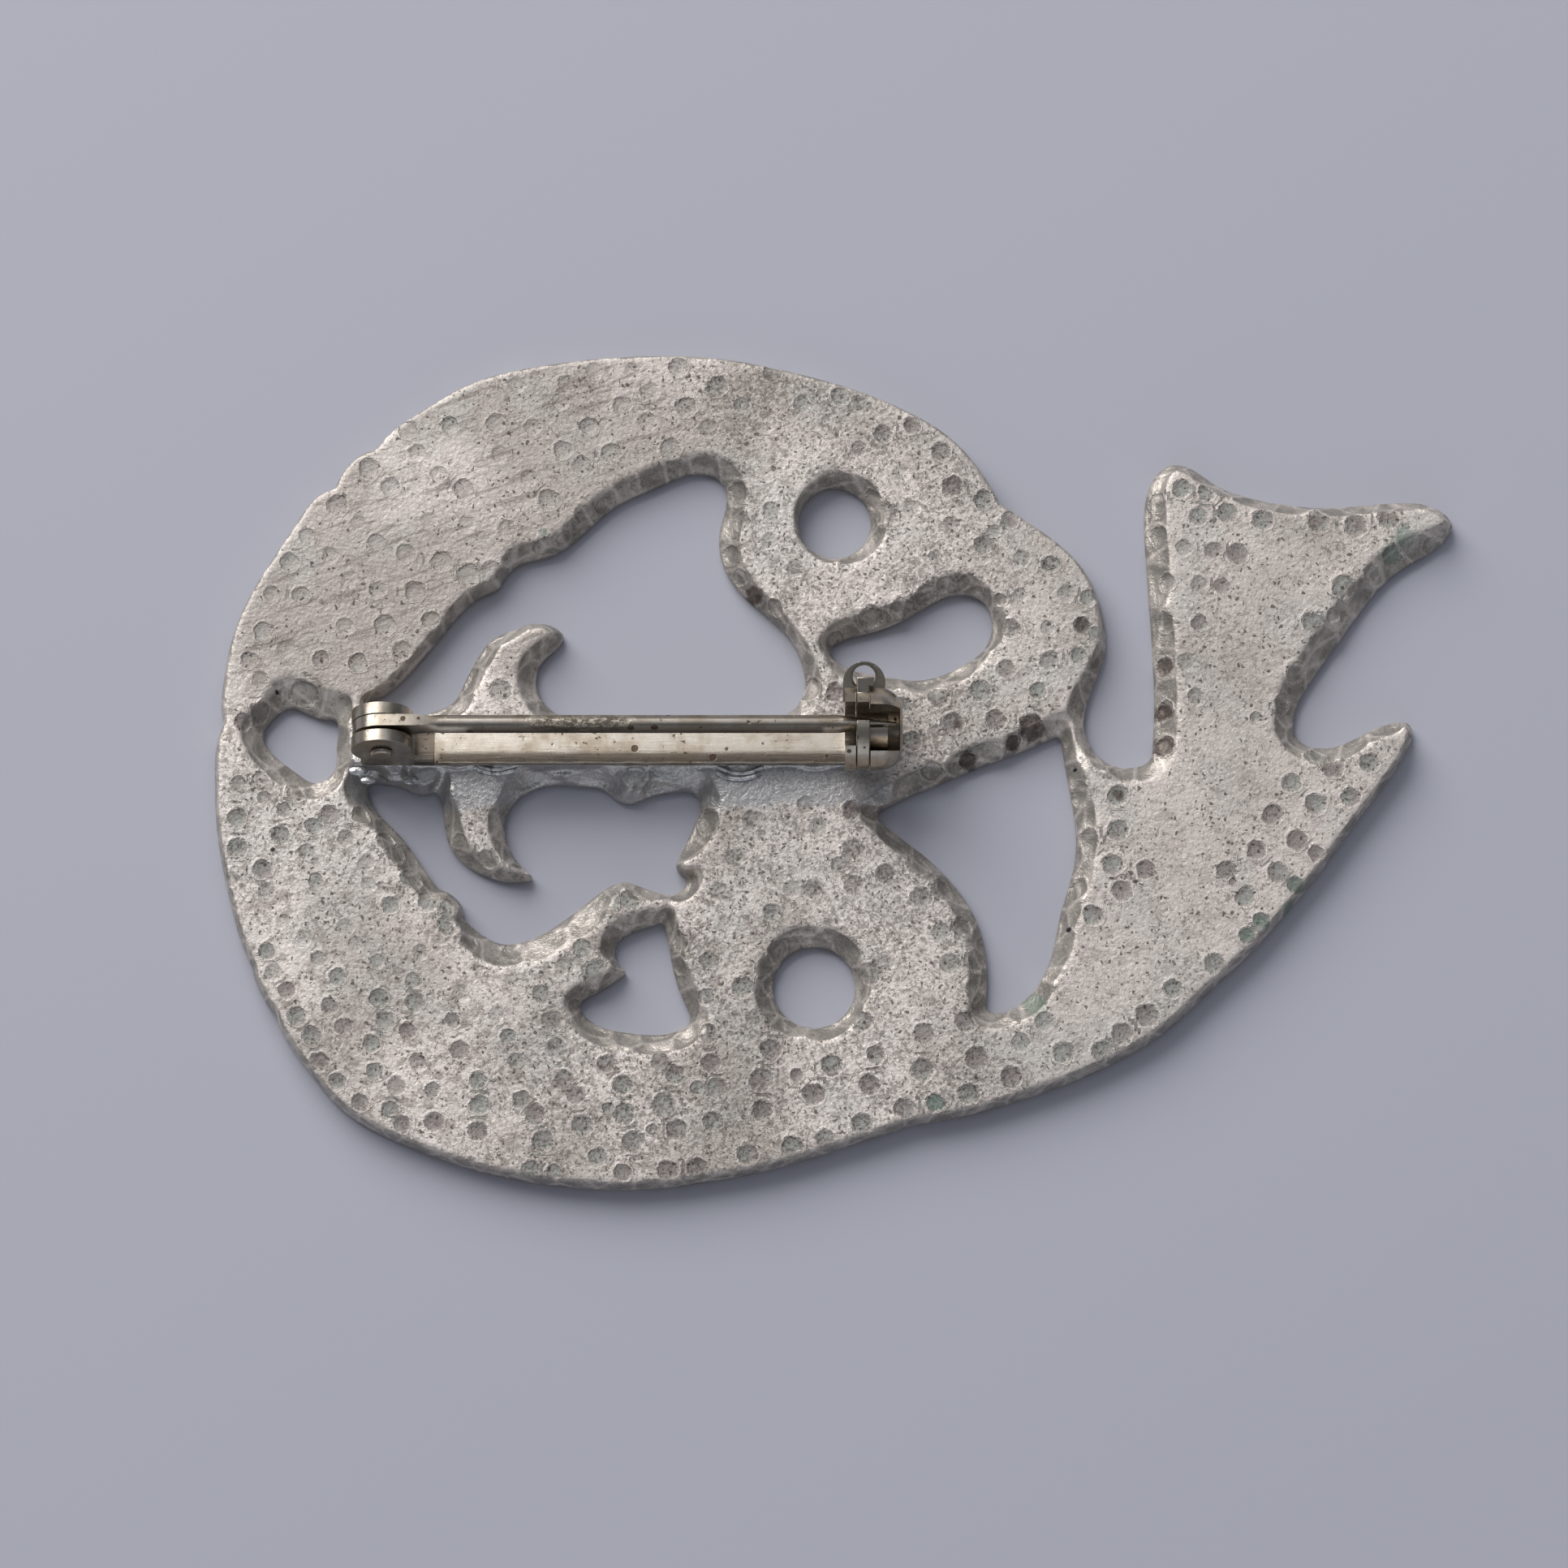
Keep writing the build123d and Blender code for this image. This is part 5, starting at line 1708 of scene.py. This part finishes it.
@dataclass
class SolderDrops:
    """The bright solder that shows beside the bar: its menisci and a few drops.

    Attributes:
        view: How the photograph sees the brooch, which the drops are placed by.
        finish: The tin.
        menisci: The pixel columns and rows of the menisci's middles.
        drops: The pixel columns and rows of the drops, and their radii in millimetres.
        curve_radius: The radius that a meniscus curves with.
        half_sweep: How far it sweeps to each side, in degrees.
        bead_radius: The radius of its bead.
        raised: How far above the plate's back it lies.
        drop_length: How much longer a drop is than a ball.
        drop_width: How wide it is, as a share of a ball.
        flatness: How flat it has set, as a share of a ball.
        unevenness: How uneven it has set, as a share of its radius.
        body: The body that the solder rides on.
        pieces: The pieces that are built.
        ARC_POINTS: How many points a meniscus has along it.
        BEAD_SIDES: How many sides its bead has.
        BEAD_END: How thick it is at its ends, as a share of its middle.
        BALL_ROUNDS: How finely a drop is divided.
        LUMPS: The pattern of a drop's unevenness.
    """

    ARC_POINTS = 32
    BEAD_SIDES = 12
    BEAD_END = 0.05
    BALL_ROUNDS = 4
    LUMPS = (1.6, 2.0, 0.5)

    view: PhotoView
    finish: bpy.types.Material
    menisci: tuple[tuple[float, float], ...] = (
        (612.0, 953.0),
        (610.0, 948.0),
        (910.0, 960.0),
        (912.0, 953.0),
    )
    drops: tuple[tuple[float, float, float], ...] = (
        (441.0, 950.0, 0.34),
        (453.0, 962.0, 0.26),
        (507.0, 962.0, 0.3),
    )
    curve_radius: float = 2.3 * MM
    half_sweep: float = 34.0
    bead_radius: float = 0.14 * MM
    raised: float = 0.1 * MM
    drop_length: float = 1.6
    drop_width: float = 0.8
    flatness: float = 0.4
    unevenness: float = 0.25
    body: str = "brooch"
    pieces: list[bpy.types.Object] = field(default_factory=list)

    def build(self) -> None:
        """Builds the menisci and the drops."""
        top = frame_top()
        bead = {
            "Curve Radius": self.curve_radius,
            "Half Sweep": math.radians(self.half_sweep),
            "Bead Radius": self.bead_radius,
            "Material": self.finish,
        }
        beads = [(across, down, 1.0) for across, down in self.menisci]
        self._lay("solder_menisci", beads, top + self.raised, self._meniscus_group(), bead)
        drop = {
            "Length": self.drop_length,
            "Width": self.drop_width,
            "Flatness": self.flatness,
            "Unevenness": self.unevenness,
            "Material": self.finish,
        }
        self._lay("solder_drops", self.drops, top, self._drop_group(), drop)

    def _lay(
        self,
        name: str,
        rows: Sequence[tuple[float, float, float]],
        height: float,
        group: GroupBench,
        values: dict[str, Any],
    ) -> None:
        """Makes one piece from the places of what repeats in it.

        Args:
            name: The piece's name.
            rows: Pixel column, pixel row and size of each.
            height: The height at which they lie.
            group: The node group that makes them.
            values: What its inputs are given, by name.
        """
        mesh = bpy.data.meshes.new(name)
        mesh.from_pydata([self.view.place(row[0], row[1], height) for row in rows], [], [])
        sizes = mesh.attributes.new("size", "FLOAT", "POINT")
        for item, row in zip(sizes.data, rows):
            item.value = row[2]
        piece = place_object(name, mesh)
        group.run(piece, values)
        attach(piece, self.body)
        self.pieces.append(piece)

    def _meniscus_group(self) -> GroupBench:
        """Builds the group that lays a curved bead at each point, thin at both its ends.

        Returns:
            The group's bench.
        """
        sizes = ("Curve Radius", "Half Sweep", "Bead Radius")
        bench = GroupBench("meniscus", {**dict.fromkeys(sizes, "Float"), "Material": "Material"})
        radius, sweep, bead = (bench.given[name] for name in sizes)
        arc = bench.out(
            "GeometryNodeCurveArc",
            {"mode": "RADIUS"},
            {
                "Resolution": self.ARC_POINTS,
                "Radius": radius,
                "Start Angle": math.radians(-90.0) - sweep,
                "Sweep Angle": 2.0 * sweep,
            },
        )
        share = bench.out("GeometryNodeSplineParameter", None, None, "Factor")
        thin = bench.math("SINE", share * math.pi) * (1.0 - self.BEAD_END) + self.BEAD_END
        arc = bench.out("GeometryNodeSetCurveRadius", None, {0: arc, "Radius": thin})
        sides = {"Resolution": self.BEAD_SIDES, "Radius": bead}
        ring = bench.out("GeometryNodeCurvePrimitiveCircle", None, sides)
        shape = bench.out("GeometryNodeCurveToMesh", None, {0: arc, 1: ring, "Fill Caps": True})
        away = bench.out("ShaderNodeCombineXYZ", None, {1: radius})
        shape = bench.out("GeometryNodeTransform", None, {0: shape, "Translation": away})
        self._repeat(bench, shape)
        return bench

    def _drop_group(self) -> GroupBench:
        """Builds the group that lays a flattened drop at each point.

        Returns:
            The group's bench.
        """
        sizes = ("Length", "Width", "Flatness", "Unevenness")
        bench = GroupBench("drop", {**dict.fromkeys(sizes, "Float"), "Material": "Material"})
        length, width, flatness, unevenness = (bench.given[name] for name in sizes)
        ball = {"Radius": MM, "Subdivisions": self.BALL_ROUNDS}
        ball = bench.out("GeometryNodeMeshIcoSphere", None, ball)
        here = bench.out("GeometryNodeInputPosition")
        lumps = bench.noise(bench.vector("SCALE", here, 1.0 / MM), *self.LUMPS) - CLOUD_MIDDLE
        shift = bench.vector("SCALE", here, lumps * unevenness * 2.0)
        ball = bench.out("GeometryNodeSetPosition", None, {0: ball, "Offset": shift})
        squashed = bench.out("ShaderNodeCombineXYZ", None, {0: length, 1: width, 2: flatness})
        ball = bench.out("GeometryNodeTransform", None, {0: ball, "Scale": squashed})
        self._repeat(bench, ball)
        return bench

    @staticmethod
    def _repeat(bench: GroupBench, shape: Wire) -> None:
        """Lays a shape at each given point, at the point's size, and ends the group.

        Args:
            bench: The group's bench.
            shape: What is laid.
        """
        shape = bench.out("GeometryNodeSetShadeSmooth", None, {0: shape})
        points = bench.out("GeometryNodeMeshToPoints", None, {0: bench.given["Geometry"]})
        size = bench.stored("size")
        sized = bench.out("ShaderNodeCombineXYZ", None, {0: size, 1: size, 2: size})
        sockets = {"Points": points, "Instance": shape, "Scale": sized}
        bench.finish(bench.out("GeometryNodeInstanceOnPoints", None, sockets))


@dataclass
class PinBack:
    """The locking bar pin: base bar, rivet, pin and catch.

    Attributes:
        finish: The nickel silver.
        nodes: The frame's nodes that it is made of.
        edge_round: How far the stamped edges are rounded.
        edge_segments: How many faces round an edge.
        smooth_angle: The turn up to which an edge is shaded smooth, in degrees.
        pieces: The nodes that are dressed.
    """

    finish: bpy.types.Material
    nodes: tuple[str, ...] = ("base_bar", "hinge_rivet", "pin", "catch_housing", "catch_ring")
    edge_round: float = 0.05 * MM
    edge_segments: int = 2
    smooth_angle: float = 32.0
    pieces: list[bpy.types.Object] = field(default_factory=list)

    def dress(self) -> None:
        """Gives each node its metal, smooth shading and rounded edges."""
        group = self._shading_group()
        for name in self.nodes:
            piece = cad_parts[name]
            piece.data.materials.clear()
            piece.data.materials.append(self.finish)
            weld = piece.modifiers.new(group.tree.name, "NODES")
            weld.node_group = group.tree
            rounding = piece.modifiers.new("rounded_edges", "BEVEL")
            rounding.width = self.edge_round
            rounding.segments = self.edge_segments
            rounding.limit_method = "ANGLE"
            rounding.angle_limit = math.radians(self.smooth_angle)
            rounding.use_clamp_overlap = True
            self.pieces.append(piece)

    def _shading_group(self) -> GroupBench:
        """Builds the group that welds loose triangles and shades them smooth up to an angle.

        Returns:
            The group's bench.
        """
        bench = GroupBench("weld_and_shade", {})
        bare = {0: bench.given["Geometry"], "Name": "custom_normal"}
        bare = bench.out("GeometryNodeRemoveAttribute", None, bare)
        welded = bench.out("GeometryNodeMergeByDistance", None, {0: bare, "Distance": WELD_REACH})
        angle = bench.out("GeometryNodeInputMeshEdgeAngle")
        gentle = bench.math("LESS_THAN", angle, math.radians(self.smooth_angle))
        faces = bench.out("GeometryNodeSetShadeSmooth", {"domain": "FACE"}, {0: welded})
        smooth = {0: faces, "Shade Smooth": gentle}
        edges = bench.out("GeometryNodeSetShadeSmooth", {"domain": "EDGE"}, smooth)
        bench.node("NodeGroupOutput", None, {0: edges})
        return bench


@dataclass
class Studio:
    """The pale floor and the soft light.

    Attributes:
        floor_size: The floor's side.
        floor_colour: Its colour.
        floor_roughness: How matt it is.
        floor_gloss: How strongly it mirrors.
        sky_colour: The colour of the light from all round.
        sky_low: Its strength from the sides.
        sky_high: Its strength from overhead.
        sky_front: What is added low down at the foot edge's side.
        sky_lean: How the brightest part leans back, by its shares of Y and Z.
        sky_edge: Where the light from overhead begins and is full.
        front_edge: Where the light at the foot edge's side begins and is full.
        key_place: Where the large soft lamp hangs, at the upper left.
        key_size: Its diameter.
        key_power: Its power, in watts.
    """

    floor_size: float = 3.0
    floor_colour: Colour = srgb(186, 186, 195)
    floor_roughness: float = 0.8
    floor_gloss: float = 0.1
    sky_colour: Colour = srgb(222, 228, 240)
    sky_low: float = 0.17
    sky_high: float = 0.95
    sky_front: float = 0.75
    sky_lean: tuple[float, float] = (0.5, 0.87)
    sky_edge: Step = (0.8, 0.98)
    front_edge: Step = (-0.55, -0.95)
    key_place: tuple[float, float, float] = (-0.38, 0.575, 0.505)
    key_size: float = 0.8
    key_power: float = 7.5

    def build(self) -> None:
        """Builds the floor, the sky and the key light."""
        bpy.context.scene.view_settings.view_transform = "Standard"
        self._floor()
        self._sky()
        self._key()

    def _floor(self) -> None:
        """Lays the floor."""
        half = self.floor_size / 2.0
        mesh = bpy.data.meshes.new("floor")
        corners = [(-half, -half, 0.0), (half, -half, 0.0), (half, half, 0.0), (-half, half, 0.0)]
        mesh.from_pydata(corners, [], [(0, 1, 2, 3)])
        made = bpy.data.materials.new("floor")
        made.use_nodes = True
        paint = made.node_tree.nodes["Principled BSDF"]
        paint.inputs["Base Color"].default_value = self.floor_colour
        paint.inputs["Roughness"].default_value = self.floor_roughness
        paint.inputs["Specular IOR Level"].default_value = self.floor_gloss
        mesh.materials.append(made)
        floor = place_object("floor", mesh)

    def _sky(self) -> None:
        """Lights the scene softly, more from overhead than from the sides."""
        world = bpy.data.worlds.new("sky")
        world.use_nodes = True
        world.node_tree.nodes.clear()
        bench = NodeBench(world.node_tree)
        towards = bench.out("ShaderNodeTexCoord", None, None, "Generated")
        back = bench.axis(towards, "Y")
        rise = bench.axis(towards, "Z") * self.sky_lean[1] + back * self.sky_lean[0]
        high = bench.ease(rise, *self.sky_edge) * (self.sky_high - self.sky_low)
        front = bench.ease(back, *self.front_edge) * self.sky_front
        strength = self.sky_low + high + front
        sockets = {"Color": self.sky_colour, "Strength": strength}
        sky = bench.out("ShaderNodeBackground", None, sockets)
        bench.node("ShaderNodeOutputWorld", None, {"Surface": sky})
        bpy.context.scene.world = world

    def _key(self) -> None:
        """Hangs the large soft lamp at the upper left."""
        lamp = bpy.data.lights.new("key", "AREA")
        lamp.shape = "DISK"
        lamp.size = self.key_size
        lamp.energy = self.key_power
        key = place_object("key", lamp)
        key.location = self.key_place
        key.rotation_euler = Vector(self.key_place).to_track_quat("Z", "Y").to_euler()


def main() -> None:
    """Builds the scene's classes in order and reports each piece."""
    logging.basicConfig(level=logging.INFO, format="%(name)s: %(message)s")
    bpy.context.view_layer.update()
    view = PhotoView()
    view.make_camera()
    Studio().build()
    plate = CastPlate(view, PewterFinish().material(view, frame_top()))
    plate.build()
    solder = SolderDrops(view, TinFinish().material())
    solder.build()
    pin_back = PinBack(NickelSilverFinish().material())
    pin_back.dress()
    for piece in plate.pieces + solder.pieces + pin_back.pieces:
        log.info("%s: %d faces", piece.name, len(piece.data.polygons))
    bpy.context.view_layer.update()


if __name__ == "__main__":
    main()
